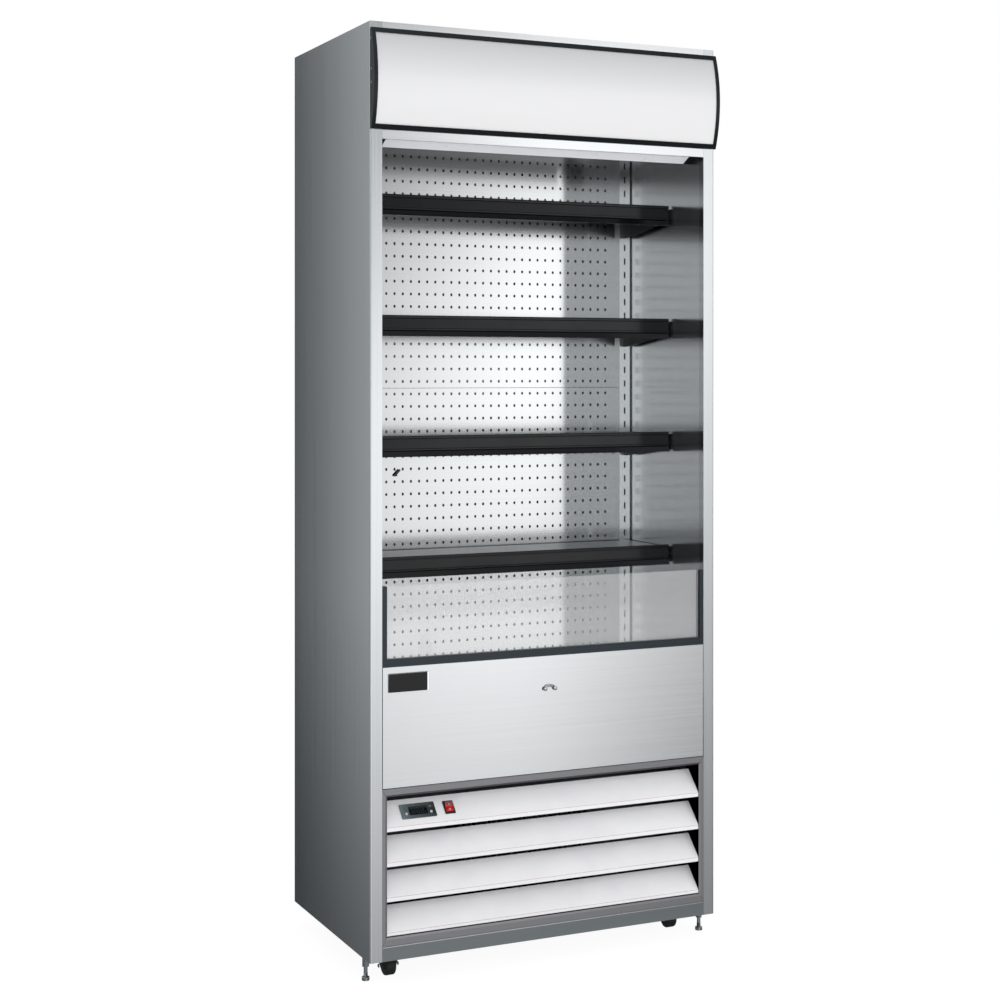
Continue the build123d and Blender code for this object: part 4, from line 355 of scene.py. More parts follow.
# Silicone rubber of two keys: pale and dull.
coated("key_rubber", "c9cdc6", "bfc3bc", 0.40, 0.5, 0.15, IOR=1.45)
# Printed ink of the rocker's marks: flat off-white.
coated("mark_white", "d8c6c8", "cfbdbf", 0.45, 0.5, 0.05, IOR=1.5)
# Display bars that are switched off: only a shade lighter than the window.
coated("display_segment", "2b3539", "263034", 0.30, 0.5, 0.02, IOR=1.5)
# Rigid polyurethane foam: cream coloured, open and rough.
coated("rigid_foam", "d9cfae", "cfc4a0", 0.85, 1.0, 0.60, IOR=1.4)
# Powder coat in a warm grey, for a faint line along the fold above each blade's lip.
coated("fold_line_tan", "cdb9ad", "c6b2a6", 0.45, 1.5, 0.10, IOR=1.5)
# The dark of an open joint, and painted shade in a screw's cross recess: no gloss at all.
coated("seam_shadow", "2a2728", "232021", 0.70, 1.0, 0.10, IOR=1.4)
# Opal acrylic of the light box and its strips: milky and even.
coated("acrylic_opal", "e8e8e9", "e4e4e6", 0.30, 4.0, 0.02, uneven=0.02, IOR=1.49)
# Opal acrylic with a light behind it: it glows a little, in a cool white.
GLOW = {"Emission_Color": srgb("f4f6ff"), "Emission_Strength": 0.18}
coated("lamp_opal", "eeeef0", "eaeaec", 0.30, 4.0, 0.02, IOR=1.49, **GLOW)
# Printed polyester foil over the thermostat: slate grey and smooth.
coated("thermostat_foil", "3a4448", "343d41", 0.16, 4.0, 0.02, IOR=1.49)
# Smoked acrylic window: dark and clear enough to mirror.
coated("smoked_acrylic", "11181b", "0e1416", 0.08, 4.0, 0.02, IOR=1.49)
# The same silicone rubber, coloured grey-green for the other two keys.
coated("key_shade", "5c6766", "566160", 0.40, 0.5, 0.15, IOR=1.45)
print("finishes:", len(FINISHES))

# %% [markdown]
# ## Painted light and shade along a piece
# A few pieces get a painted tone along them. The opal sheet of the light box has painted shade,
# darker towards the top. The rocker's lower half has a painted glow, a lighter red. The
# thermostat's foil has a painted sheen, light at its left end and dark at its right. Inside the
# louvre frame the grey has painted shade, nearly black towards the back. Each is a ramp along one
# axis of the piece's own coordinates, so it stays on the piece wherever that moves.

# %% Ramps along an axis


def along(tree, axis, start, end):
    """0 to 1 between two places on one axis of the piece's own coordinates, in metres."""
    coordinates = add_node(tree, "ShaderNodeTexCoord")
    split = add_node(tree, "ShaderNodeSeparateXYZ", {"Vector": coordinates.outputs["Object"]})
    span = {"Value": split.outputs[axis], "From Min": start, "From Max": end}
    return add_node(tree, "ShaderNodeMapRange", span).outputs["Result"]


def fade(finish_name, axis, start, end, stops):
    """Gives a finish its tone along an axis, in place of the one that it had."""
    tree = FINISHES[finish_name].node_tree
    tone = add_node(tree, "ShaderNodeValToRGB", {"Fac": along(tree, axis, start, end)}, stops=stops)
    feed(tree, tree.nodes["Principled BSDF"], {"Base Color": tone.outputs["Color"]})


LENS_LOW, LENS_HIGH = 1.744, 1.929
FOIL_LEFT, FOIL_RIGHT = -0.329, -0.252
ROCKER_LOW, ROCKER_HIGH = 0.334, 0.350
SHADE_FRONT, SHADE_BACK = FRONT_Y + 0.010, FRONT_Y + 0.016
# Painted shade: the light box's opal sheet and strips darken towards the top.
fade("acrylic_opal", "Z", LENS_LOW, LENS_HIGH, [(0, "e9e9ea"), (0.5, "e0e0e2"), (1, "c0c1c3")])
# Painted sheen: the thermostat's foil is light at its left end and dark at its right.
fade("thermostat_foil", "X", FOIL_LEFT, FOIL_RIGHT, [(0, "6b777d"), (0.25, "4d585d"), (1, "262d30")])
# Painted glow: the rocker is a lighter red low down and a darker red at the top.
fade("polycarbonate_red", "Z", ROCKER_LOW, ROCKER_HIGH, [(0, "cf1a20"), (0.5, "b01218"), (1, "820b10")])
# Painted shade: the grille surround's grey goes nearly black inside the frame, towards the back.
fade("anodised_grey", "Y", SHADE_FRONT, SHADE_BACK, [(0, "9a9a9e"), (1, "232427")])
print("rocker glow over", round((ROCKER_HIGH - ROCKER_LOW) / MM, 1), "mm")

# %% [markdown]
# ## Glass
# The riser is 5 mm toughened float glass, clear with a smooth fire-polished face. Cold air mists
# it, which is why everything behind it looks paler. A pane so thin hardly bends light, so Alpha
# does the job: each of its two faces lets most of the light straight through and adds a thin
# white veil.

# %% Toughened glass
GLASS_VEIL = 0.15
new_finish("toughened_glass", "f4f6f6", Roughness=0.05, IOR=1.52, Alpha=GLASS_VEIL)
print("light through one face:", 1 - GLASS_VEIL)

# %% [markdown]
# ## Blind cloth
# The blind is coated polyester with a plain weave, which looks soft and slightly ribbed. Its
# threads are 0.5 mm apart and drawn at 2 mm, so that they show. Two wave textures, one for each
# way of the threads, are multiplied: their product is high only where threads cross. A wave
# texture of scale 1 has about three waves to the unit, so the scale is set back to one.

# %% Cloth
WEAVE = 2.0 * MM
WAVE_UNIT = 0.314
WEAVE_STRENGTH = 0.4
WEAVE_DEPTH = 0.2 * MM
cloth_tree, cloth_shader = new_finish("blind_cloth", "c9cbcd", Roughness=0.7, Sheen_Weight=0.2)
threads = [
    add_node(
        cloth_tree,
        "ShaderNodeTexWave",
        {"Vector": pattern_place(cloth_tree, [WEAVE] * 3), "Scale": WAVE_UNIT},
        bands_direction=axis,
    ).outputs["Fac"]
    for axis in "XZ"
]
crossings = {0: threads[0], 1: threads[1]}
weave = add_node(cloth_tree, "ShaderNodeMath", crossings, operation="MULTIPLY").outputs["Value"]
ribs = {"Height": weave, "Strength": WEAVE_STRENGTH, "Distance": WEAVE_DEPTH}
raised_weave = add_node(cloth_tree, "ShaderNodeBump", ribs)
cloth_tone = add_node(
    cloth_tree, "ShaderNodeValToRGB", {"Fac": weave}, stops=[(0, "bcbec0"), (1, "d2d4d6")]
)
cloth_outputs = {"Base Color": cloth_tone.outputs["Color"], "Normal": raised_weave.outputs["Normal"]}
feed(cloth_tree, cloth_shader, cloth_outputs)
print("weave drawn every", WEAVE / MM, "mm")

# %% [markdown]
# ## Finned coil
# The evaporator is a block of thin rolled aluminium fins 2 mm apart. The CAD has only deep
# grooves, so the finish adds the fins as fine light bands across the block, at twice the spacing,
# with painted shade in the gaps between them. The condenser in the bay below takes the
# compressor's black enamel. Black condensers are common, and here the black is also painted
# shade for the dark bay behind the louvres.

# %% Finned aluminium
FIN_SPACING = 4.0 * MM
fins_tree, fins_shader = new_finish("finned_aluminium", "b9bdc0", Metallic=1.0, Roughness=0.35)
fin_waves = {"Vector": pattern_place(fins_tree, [FIN_SPACING] * 3), "Scale": WAVE_UNIT}
fin_bands = add_node(fins_tree, "ShaderNodeTexWave", fin_waves, bands_direction="X")
# Light bands for the fins, with painted shade in the gaps between them.
fin_and_gap_shade_tone = add_node(
    fins_tree,
    "ShaderNodeValToRGB",
    {"Fac": fin_bands.outputs["Fac"]},
    stops=[(0.2, "565b5e"), (0.8, "c3c7ca")],
)
feed(fins_tree, fins_shader, {"Base Color": fin_and_gap_shade_tone.outputs["Color"]})
print("fins drawn every", FIN_SPACING / MM, "mm")

# %% [markdown]
# ## Dressing the CAD parts
# A CAD part whose shape is right keeps its mesh and only gets its finish, by putting the material
# into the part's slots.

# %% Finish for each CAD part
DRESS = {
    "stainless_brushed_upright": ["side_skin_left", "side_skin_right"],
    "stainless_brushed_across": ["top_panel", "header_panel", "front_panel"],
    "stainless_polished_upright": ["cabinet_liners", "shelf_uprights"],
    "stainless_polished_across": ["duct_panels"],
    "stainless_satin": [f"shelf_plate_{tier}" for tier in (1, 2, 3, 4)],
    "zinc_sheet": ["rear_panel"],
    "zinc_rail": ["base_pan"],
    "rigid_foam": ["foam_insulation"],
    "frame_black": ["canopy_frame"],
    "acrylic_opal": ["canopy_lens", "canopy_lamps"],
    "lamp_opal": ["lamp_diffuser"],
    "powder_coat_white": ["canopy_tray", "ceiling_panel", "louvre_blades", "well_tray", "deck_pan"],
    "powder_coat_black": ["shelf_brackets", "caster_fork_left", "caster_fork_right", "fan_shroud"],
    "label_channel_black": ["ticket_strips"],
    "abs_grey": ["air_honeycomb", "probe_clip"],
    "abs_black": ["switch_bezel", "condenser_fan", "drip_tray", "blind_brackets"],
    "thermostat_foil": ["controller_body"],
    "key_shade": ["controller_key_1", "controller_key_3"],
    "key_rubber": ["controller_key_2", "controller_key_4"],
    "polycarbonate_red": ["switch_rocker"],
    "toughened_glass": ["glass_riser"],
    "anodised_dark": ["glass_channel"],
    "anodised_grey": ["grille_frame"],
    "aluminium_natural": ["blind_bar", "lamp_housing", "evaporator_blower"],
    "blind_cloth": ["blind_roller", "blind_fabric"],
    "chrome_bright": ["blind_catch"],
    "zinc_plate": ["foot_left", "foot_right"],
    "rubber_black": [f"{end}_wheel_{side}" for end in ("front", "rear") for side in ("left", "right")],
    "finned_aluminium": ["evaporator_coil"],
    "enamel_black": ["compressor", "condenser_coil"],
}
for finish_name, node_names in DRESS.items():
    for node_name in node_names:
        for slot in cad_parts[node_name].material_slots:
            slot.material = FINISHES[finish_name]
undressed = set(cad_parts) - {name for names in DRESS.values() for name in names}
print("parts without a finish:", sorted(undressed))

# %% [markdown]
# ## Making a new piece
# New pieces are bmeshes. The first helper writes one into an object, gives it a finish and lets
# it ride on the CAD body that it belongs to. The others add a box between two corners, turn a
# shape to look in a direction, and spin a half-profile into a round part. A spin can turn a shape
# inside out, so its doubles are merged and its normals worked out again.

# %% Piece helpers
SPIN_WELD = 0.005 * MM


def add_piece(name, build, finish_name, body="cabinet", smooth=False):
    """Turns a bmesh into a named object with its finish, riding on a CAD body."""
    mesh = bpy.data.meshes.new(name)
    for face in build.faces:
        face.smooth = smooth
    build.to_mesh(mesh)
    build.free()
    piece = bpy.data.objects.new(name, mesh)
    bpy.context.scene.collection.objects.link(piece)
    piece.data.materials.append(FINISHES[finish_name])
    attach(piece, body)
    print(name, len(mesh.polygons), "faces")
    return piece


def add_box(build, low, high):
    """Adds a box between two corners to a bmesh."""
    low, high = Vector(low), Vector(high)
    matrix = Matrix.Translation((low + high) / 2) @ Matrix.Diagonal((*(high - low), 1))
    return bmesh.ops.create_cube(build, size=1.0, matrix=matrix)["verts"]


def turned(where, towards):
    """The matrix that stands a shape made along Z at a point, looking in a direction."""
    turn = Vector((0, 0, 1)).rotation_difference(Vector(towards)).to_matrix().to_4x4()
    return Matrix.Translation(where) @ turn


def spin_profile(build, profile, matrix, steps=20):
    """A round part from a profile of (radius, height) in mm, open or closed at its axis."""
    part = bmesh.new()
    verts = [part.verts.new((radius * MM, 0, height * MM)) for radius, height in profile]
    edges = [part.edges.new(pair) for pair in zip(verts, verts[1:])]
    bmesh.ops.spin(
        part, geom=verts + edges, cent=(0, 0, 0), axis=(0, 0, 1), angle=2 * pi, steps=steps, use_merge=True
    )
    bmesh.ops.remove_doubles(part, verts=part.verts, dist=SPIN_WELD)
    bmesh.ops.recalc_face_normals(part, faces=part.faces)
    bmesh.ops.transform(part, matrix=matrix, verts=part.verts)
    mesh = bpy.data.meshes.new("spun")
    part.to_mesh(mesh)
    part.free()
    build.from_mesh(mesh)
    bpy.data.meshes.remove(mesh)


print("piece helpers ready")

# %% [markdown]
# ## Perforated rear panels
# The rear wall is two stainless sheets punched with 1400 small holes, through which cold air
# leaks onto the shelves. The holes are far too many for the CAD, so the sheets are made here.
# One cell of the pattern is drawn, a rectangle with a rounded slot in it, filled with triangles,
# and copied along the row and then up the sheet.

# %% Field of holes
HOLE_WIDTH = 5.0
HOLE_TALL = 6.6
HOLE_CORNER = 1.6
COLUMN_PITCH = 19.75
COLUMNS = 33
ROW_PITCH = 28.0
UPPER_ROWS = 19
LOWER_ROWS = 24
TOP_ROW = 1678.0
PANEL_DEPTH = 341.0
FIELD_HALF = COLUMN_PITCH * COLUMNS / 2


def rectangle(x_low, x_high, low, high):
    """The four corners of a rectangle, as (x, height)."""
    return [(x_low, low), (x_high, low), (x_high, high), (x_low, high)]


def add_ring(build, points):
    """A closed loop of edges on the panel's face, through points given as (x, height)."""
    verts = [build.verts.new(place(x, PANEL_DEPTH, height)) for x, height in points]
    return [build.edges.new((verts[i], verts[i - 1])) for i in range(len(verts))]


def hole_outline():
    """The rounded slot: a rectangle with its four corners cut."""
    half_w, half_h, cut = HOLE_WIDTH / 2, HOLE_TALL / 2, HOLE_CORNER
    return [
        (half_w - cut, half_h), (cut - half_w, half_h), (-half_w, half_h - cut), (-half_w, cut - half_h),
        (cut - half_w, -half_h), (half_w - cut, -half_h), (half_w, cut - half_h), (half_w, half_h - cut),
    ]


def punch_field(build, top_row, rows):
    """The field of holes whose first row is at a height."""
    x_first = COLUMN_PITCH / 2 - FIELD_HALF
    cell = rectangle(-COLUMN_PITCH / 2, COLUMN_PITCH / 2, -ROW_PITCH / 2, ROW_PITCH / 2)
    edges = []
    for outline in (cell, hole_outline()):
        edges += add_ring(build, [(x_first + x, top_row + z) for x, z in outline])
    bmesh.ops.triangle_fill(build, use_beauty=True, use_dissolve=False, edges=edges)
    steps = ((COLUMNS, (COLUMN_PITCH * MM, 0, 0)), (rows, (0, 0, -ROW_PITCH * MM)))
    for count, step in steps:
        source = build.faces[:]
        for index in range(1, count):
            copy = bmesh.ops.duplicate(build, geom=source)["geom"]
            verts = [item for item in copy if isinstance(item, bmesh.types.BMVert)]
            bmesh.ops.translate(build, verts=verts, vec=Vector(step) * index)


print("holes:", COLUMNS * (UPPER_ROWS + LOWER_ROWS))

# %% [markdown]
# The plain margins are then added around the field. Their edges lie where the cells have theirs,
# so that everything welds into one sheet. Where a sheet ends inside a row of cells, the row's
# outer edge is moved to the sheet's end instead.

# %% Plain margins
PANEL_HALF = 378.3
NEAR = 0.01 * MM


def add_plain(build, x_low, x_high, low, high):
    """A plain rectangle of the sheet."""
    corners = rectangle(x_low, x_high, low, high)
    build.faces.new([build.verts.new(place(x, PANEL_DEPTH, z)) for x, z in corners])


def move_row(build, height, new_height):
    """Moves every point of the sheet that is at one height to another."""
    for vert in build.verts:
        if abs(vert.co.z - place(0, 0, height).z) < NEAR:
            vert.co.z = place(0, 0, new_height).z


def add_margins(build, field_low, field_top, bottom, top):
    """The plain rows above and below the field of holes, and the plain columns beside it."""
    columns = [COLUMN_PITCH * index - FIELD_HALF for index in range(COLUMNS + 1)]
    for edge, limit, is_short in (
        (field_top, top, top < field_top),
        (field_low, bottom, bottom > field_low),
    ):
        if is_short:
            move_row(build, edge, limit)
            continue
        for x_low, x_high in zip(columns, columns[1:]):
            add_plain(build, x_low, x_high, min(edge, limit), max(edge, limit))
    rows = round((field_top - field_low) / ROW_PITCH)
    heights = {min(max(field_low + ROW_PITCH * index, bottom), top) for index in range(rows + 1)}
    heights = sorted(heights | {bottom, top})
    for low, high in zip(heights, heights[1:]):
        add_plain(build, -PANEL_HALF, -FIELD_HALF, low, high)
        add_plain(build, FIELD_HALF, PANEL_HALF, low, high)


print("plain margin beside the holes:", round(PANEL_HALF - FIELD_HALF, 2), "mm")

# %% [markdown]
# The lower sheet has an opening where the air returns to the coil. Four planes cut the sheet
# along the opening's edges, and the faces inside are deleted. Both sheets are folded back at
# their sides, which keeps thin steel stiff.

# %% Return mouth and side folds
SIDE_FOLD = 14.0
MOUTH_HALF = 300.0
MOUTH_LOW = 401.9
MOUTH_HIGH = 458.0


def cut_mouth(build):
    """Opens the sheet where air goes back to the coil."""
    low, high = place(-MOUTH_HALF, 0, MOUTH_LOW), place(MOUTH_HALF, 0, MOUTH_HIGH)
    limit = high.z + ROW_PITCH * MM
    cuts = [(corner, normal) for normal in ((1, 0, 0), (0, 0, 1)) for corner in (low, high)]
    for point, normal in cuts:
        faces = [face for face in build.faces if face.calc_center_median().z < limit]
        edges = {edge for face in faces for edge in face.edges}
        verts = {vert for face in faces for vert in face.verts}
        geometry = faces + list(edges | verts)
        bmesh.ops.bisect_plane(build, geom=geometry, dist=NEAR / 10, plane_co=point, plane_no=normal)
    inside = []
    for face in build.faces:
        centre = face.calc_center_median()
        if low.x < centre.x < high.x and low.z < centre.z < high.z:
            inside.append(face)
    bmesh.ops.delete(build, geom=inside, context="FACES")


def fold_sides(build):
    """Folds the sheet's two side edges back."""
    limit = PANEL_HALF * MM - NEAR
    sides = [edge for edge in build.edges if all(abs(vert.co.x) > limit for vert in edge.verts)]
    folded = bmesh.ops.extrude_edge_only(build, edges=sides)["geom"]
    verts = [item for item in folded if isinstance(item, bmesh.types.BMVert)]
    bmesh.ops.translate(build, verts=verts, vec=(0, SIDE_FOLD * MM, 0))


print("return mouth:", 2 * MOUTH_HALF, "x", round(MOUTH_HIGH - MOUTH_LOW, 1), "mm")

# %% [markdown]
# Now the steps are put together for the two sheets, which meet in a seam 1 mm wide. The last
# step gives the flat surface its 1 mm of steel. Its normals are turned to the back first, so that
# the thickness goes to the same side on both sheets.

# %% The two sheets
SHEET = 1.0
PANEL_TOP = 1744.8
PANEL_BOTTOM = 391.2
SEAM = 1159.0
SEAM_GAP = 1.0
WELD = 0.05 * MM


def panel_sheet(top_row, rows, bottom, top, has_mouth):
    """One sheet: its field of holes, its plain margins, its side folds and its thickness."""
    build = bmesh.new()
    punch_field(build, top_row, rows)
    field_top = top_row + ROW_PITCH / 2
    add_margins(build, field_top - rows * ROW_PITCH, field_top, bottom, top)
    bmesh.ops.remove_doubles(build, verts=build.verts, dist=WELD)
    if has_mouth:
        cut_mouth(build)
    fold_sides(build)
    bmesh.ops.recalc_face_normals(build, faces=build.faces)
    if sum(face.normal.y * face.calc_area() for face in build.faces) < 0:
        bmesh.ops.reverse_faces(build, faces=build.faces)
    bmesh.ops.solidify(build, geom=build.faces, thickness=SHEET * MM)
    bmesh.ops.recalc_face_normals(build, faces=build.faces)
    return build


second_row = TOP_ROW - UPPER_ROWS * ROW_PITCH
panels = {
    "rear_panel_upper": (TOP_ROW, UPPER_ROWS, SEAM + SEAM_GAP / 2, PANEL_TOP, False),
    "rear_panel_lower": (second_row, LOWER_ROWS, PANEL_BOTTOM, SEAM - SEAM_GAP / 2, True),
}
for name, sizes in panels.items():
    sheet = add_piece(name, panel_sheet(*sizes), "stainless_polished_across")
    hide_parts("duct_panels")

# %% [markdown]
# ## Night blind
# Out of hours a cloth blind is drawn down in front of the shelves. At rest only a few centimetres
# hang below the roller, behind the header. The cloth joins the cabinet to the pull bar, and it is
# made with rows of faces all the way down.

# %% Night blind cloth
BLIND_ROWS = 24
CLOTH = 0.4
blind_low, blind_high = (Vector(corner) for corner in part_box("blind_fabric"))
blind_y = (blind_low.y + blind_high.y) / 2
flat_size = (blind_high.x - blind_low.x, blind_high.z - blind_low.z)
build = bmesh.new()
bmesh.ops.create_grid(build, x_segments=1, y_segments=BLIND_ROWS, size=0.5)
middle = Vector((0, blind_y, (blind_low.z + blind_high.z) / 2))
stand_up = Matrix.Translation(middle) @ Matrix.Rotation(radians(90), 4, "X")
bmesh.ops.transform(build, matrix=stand_up @ Matrix.Diagonal((*flat_size, 1, 1)), verts=build.verts)
bmesh.ops.solidify(build, geom=build.faces, thickness=CLOTH * MM)
bmesh.ops.recalc_face_normals(build, faces=build.faces)

blind_mesh = bpy.data.meshes.new("night_blind")
build.to_mesh(blind_mesh)
build.free()
night_blind = bpy.data.objects.new("night_blind", blind_mesh)
bpy.context.scene.collection.objects.link(night_blind)
night_blind.data.materials.append(FINISHES["blind_cloth"])
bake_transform(night_blind)
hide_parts("blind_fabric")
print("night blind:", [round(length, 4) for length in flat_size], "m")

# %% [markdown]
# ## Plain plate
# A small black plate with rounded corners is fixed at the upper left of the front panel. It is a
# box whose corner edges are bevelled. Its front is inset and pushed in, which leaves a raised
# bright rim, and a second, thinner box in gloss black fills the rim.

# %% Plate and rim
PLATE_X = -322.0
PLATE_HEIGHT = 563.0
PLATE_SIZE = (88.0, 40.0)
PLATE_OUT = 1.6
PLATE_RIM = 1.4
PLATE_CORNER = 2.0
RIM_DEPTH = 0.4
PLATE_FIT = 0.1
PLATE_T = 0.28


def plate_box(build, shrink, out_low, out_high):
    """The plate's outline, shrunk all round, between two distances out of the panel."""
    half_w, half_h = PLATE_SIZE[0] / 2 - shrink, PLATE_SIZE[1] / 2 - shrink
    low = place(PLATE_X - half_w, -out_high, PLATE_HEIGHT - half_h)
    high = place(PLATE_X + half_w, -out_low, PLATE_HEIGHT + half_h)
    edges = {edge for vert in add_box(build, low, high) for edge in vert.link_edges}
    corners = [edge for edge in edges if abs(edge.verts[0].co.y - edge.verts[1].co.y) > NEAR]
    bmesh.ops.bevel(
        build,
        geom=corners,
        offset=PLATE_CORNER * MM,
        segments=4,
        profile=0.5,
        affect="EDGES",
        material=-1,
    )


build = bmesh.new()
plate_box(build, 0, PLATE_FIT, PLATE_OUT)
front_face = min(build.faces, key=lambda face: face.calc_center_median().y)
bmesh.ops.inset_individual(build, faces=[front_face], thickness=PLATE_RIM * MM, depth=-RIM_DEPTH * MM)
add_piece("plate_rim", build, "chrome_bright")
plate_front = PLATE_OUT - PLATE_FIT
build = bmesh.new()
plate_box(build, PLATE_RIM + PLATE_FIT, plate_front - PLATE_T, plate_front)
add_piece("plain_plate", build, "plate_black")

# %% [markdown]
# ## Catch for the blind
# In the middle of the front panel sits a small chromed catch: two round-headed studs with a bent
# wire strap over them, and a short hook block that the blind's bar goes behind. The studs are
# half-profiles that are spun.

# %% Catch studs
CATCH_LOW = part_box("blind_catch")[0][2]
STUD_SPREAD = 11.6
STUD_HEIGHT = 4.6
STUD_PROFILE = [(0, 7.6), (2.0, 7.3), (3.6, 6.2), (4.4, 4.6), (4.2, 3.2), (2.4, 2.4), (2.0, 0.2), (0, 0.2)]
catch_y = FRONT_Y - 0.2 * MM


def catch_place(x, out, height):
    """A point of the catch from x, the distance out of the panel and the height over its base."""
    return Vector((x * MM, catch_y - out * MM, CATCH_LOW + height * MM))


build = bmesh.new()
for side in (-1, 1):
    seat = catch_place(side * STUD_SPREAD, 0, STUD_HEIGHT)
    spin_profile(build, STUD_PROFILE, turned(seat, (0, -1, 0)))
studs = add_piece("catch_studs", build, "chrome_bright", smooth=True)
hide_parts("blind_catch")

# %% [markdown]
# The strap is a short curve with a round bevel, because a curve bends a wire most simply. It is
# made into a mesh, and the hook block is added to it.

# %% Catch strap
STRAP_ROUTE = [(-11.6, 5.0), (-11.0, 9.4), (-6.5, 11.9), (0, 12.2), (6.5, 11.9), (11.0, 9.4), (11.6, 5.0)]
STRAP_OUT = 3.4
STRAP_RADIUS = 1.2
HOOK_HALF = 4.5
HOOK_OUT = 2.6
HOOK_LOW, HOOK_HIGH = 7.6, 10.8

wire = bpy.data.curves.new("strap_wire", "CURVE")
wire.dimensions = "3D"
wire.bevel_depth = STRAP_RADIUS * MM
wire.bevel_resolution = 3
wire.use_fill_caps = True
spline = wire.splines.new("NURBS")
spline.points.add(len(STRAP_ROUTE) - 1)
for point, (x, height) in zip(spline.points, STRAP_ROUTE):
    point.co = (*catch_place(x, STRAP_OUT, height), 1)
spline.order_u = 3
spline.use_endpoint_u = True
wire_object = bpy.data.objects.new("strap_wire", wire)
bpy.context.scene.collection.objects.link(wire_object)
bpy.context.view_layer.update()
wire_mesh = bpy.data.meshes.new_from_object(wire_object)
bpy.data.objects.remove(wire_object)

build = bmesh.new()
build.from_mesh(wire_mesh)
bpy.data.meshes.remove(wire_mesh)
bmesh.ops.remove_doubles(build, verts=build.verts, dist=NEAR)
add_box(build, catch_place(-HOOK_HALF, HOOK_OUT, HOOK_LOW), catch_place(HOOK_HALF, 0, HOOK_HIGH))
bmesh.ops.recalc_face_normals(build, faces=build.faces)
strap = add_piece("catch_strap", build, "chrome_bright", smooth=True)
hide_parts("blind_catch")

# %% [markdown]
# ## The sloping face of the top blade
# The thermostat and the switch sit on the top blade, which slopes back at 46 degrees. Their small
# details are made flat and then turned with the slope, in the same frame as the CAD's parts.

# %% The slope of the top blade
SLOPE_RUN = 42.8
SLOPE_RISE = 44.0
SLOPE_ANGLE = atan2(SLOPE_RISE, SLOPE_RUN)
FOLD_DEPTH = 3.2
FOLD_HEIGHT = 270.2
SLOPE_WAY = 31.0


def slope_matrix(x_mm, out_mm):
    """Frame on the blade: X across, Y up the slope and Z out of it, raised by out_mm."""
    depth = FOLD_DEPTH + SLOPE_WAY * cos(SLOPE_ANGLE)
    height = FOLD_HEIGHT + SLOPE_WAY * sin(SLOPE_ANGLE)
    turn = Matrix.Rotation(SLOPE_ANGLE, 4, "X")
    lift = turn @ Vector((0, 0, out_mm * MM))
    return Matrix.Translation(place(x_mm, depth, height) + lift) @ turn


def add_bar(build, x_low, x_high, y_low, y_high, out_low, out_high):
    """A flat bar given in mm on the slope's own frame."""
    return add_box(build, (x_low * MM, y_low * MM, out_low * MM), (x_high * MM, y_high * MM, out_high * MM))


print("slope", round(SLOPE_ANGLE * 180 / pi, 1), "degrees")

# %% [markdown]
# ## Switch marks
# The rocker carries the usual line and circle for on and off, as thin raised shapes that lie on
# its two slanted halves and ride on the rocker.

# %% On and off marks
ROCKER_X = -221.0
AXIS_OUT = -0.3
CROWN_OUT = 3.0
UPPER_TILT = atan2(3.42, 10.19)
LOWER_TILT = atan2(0.5, 10.6)
MARK_LOW, MARK_HIGH = -0.1, 0.12
LINE_WIDTH = 0.9
LINE_LOW, LINE_HIGH = 3.4, 7.2
CIRCLE_INSIDE, CIRCLE_OUTSIDE = 1.4, 2.3
CIRCLE_BELOW = 5.6
crown = slope_matrix(ROCKER_X, AXIS_OUT) @ Matrix.Translation((0, 0, CROWN_OUT * MM))

build = bmesh.new()
bar = add_bar(build, -LINE_WIDTH / 2, LINE_WIDTH / 2, LINE_LOW, LINE_HIGH, MARK_LOW, MARK_HIGH)
bmesh.ops.transform(build, matrix=crown @ Matrix.Rotation(UPPER_TILT, 4, "X"), verts=bar)
add_piece("on_mark", build, "mark_white", "rocker")

build = bmesh.new()
ring_profile = rectangle(CIRCLE_INSIDE, CIRCLE_OUTSIDE, MARK_LOW, MARK_HIGH)
ring_shift = Matrix.Translation((0, -CIRCLE_BELOW * MM, 0))
ring_place = crown @ Matrix.Rotation(LOWER_TILT, 4, "X") @ ring_shift
spin_profile(build, [*ring_profile, ring_profile[0]], ring_place, steps=24)
add_piece("off_mark", build, "mark_white", "rocker")

# %% [markdown]
# ## Thermostat window
# Behind a smoked window sit three digits of seven bars, switched off, so they are only a shade
# lighter than the window. Small indicator lamps stand in a row above it.

# %% Window, digits and indicator lamps
CONTROLLER_X = -290.5
FACE_OUT = 2.7
WINDOW_OUT = FACE_OUT - 0.8
WINDOW_HALF_W, WINDOW_HALF_H = 20.3, 9.8
DIGIT_WIDTH, DIGIT_TALL = 7.0, 12.0
BAR = 1.2
DIGIT_LEFTS = (-14.5, -4.5, 5.5)
LAMP_PLACES = (-5.5, 5.0, 16.0, 22.5)
LAMP_HALF = 1.6
LAMP_LOW, LAMP_HIGH = 12.0, 14.2
WINDOW_SKIN = (0.01, 0.2)
DIGIT_SKIN = (0.18, 0.28)
LAMP_SKIN = (0.01, 0.12)

build = bmesh.new()
window = add_bar(build, -WINDOW_HALF_W, WINDOW_HALF_W, -WINDOW_HALF_H, WINDOW_HALF_H, *WINDOW_SKIN)
bmesh.ops.transform(build, matrix=slope_matrix(CONTROLLER_X, WINDOW_OUT), verts=window)
add_piece("display_window", build, "smoked_acrylic")

build = bmesh.new()
for left in DIGIT_LEFTS:
    right, half = left + DIGIT_WIDTH, DIGIT_TALL / 2
    for height in (-half, 0, half):
        add_bar(build, left + BAR, right - BAR, height - BAR / 2, height + BAR / 2, *DIGIT_SKIN)
    for x in (left, right - BAR):
        add_bar(build, x, x + BAR, BAR - half, -BAR, *DIGIT_SKIN)
        add_bar(build, x, x + BAR, BAR, half - BAR, *DIGIT_SKIN)
bmesh.ops.transform(build, matrix=slope_matrix(CONTROLLER_X, WINDOW_OUT), verts=build.verts)
add_piece("display_digits", build, "display_segment")

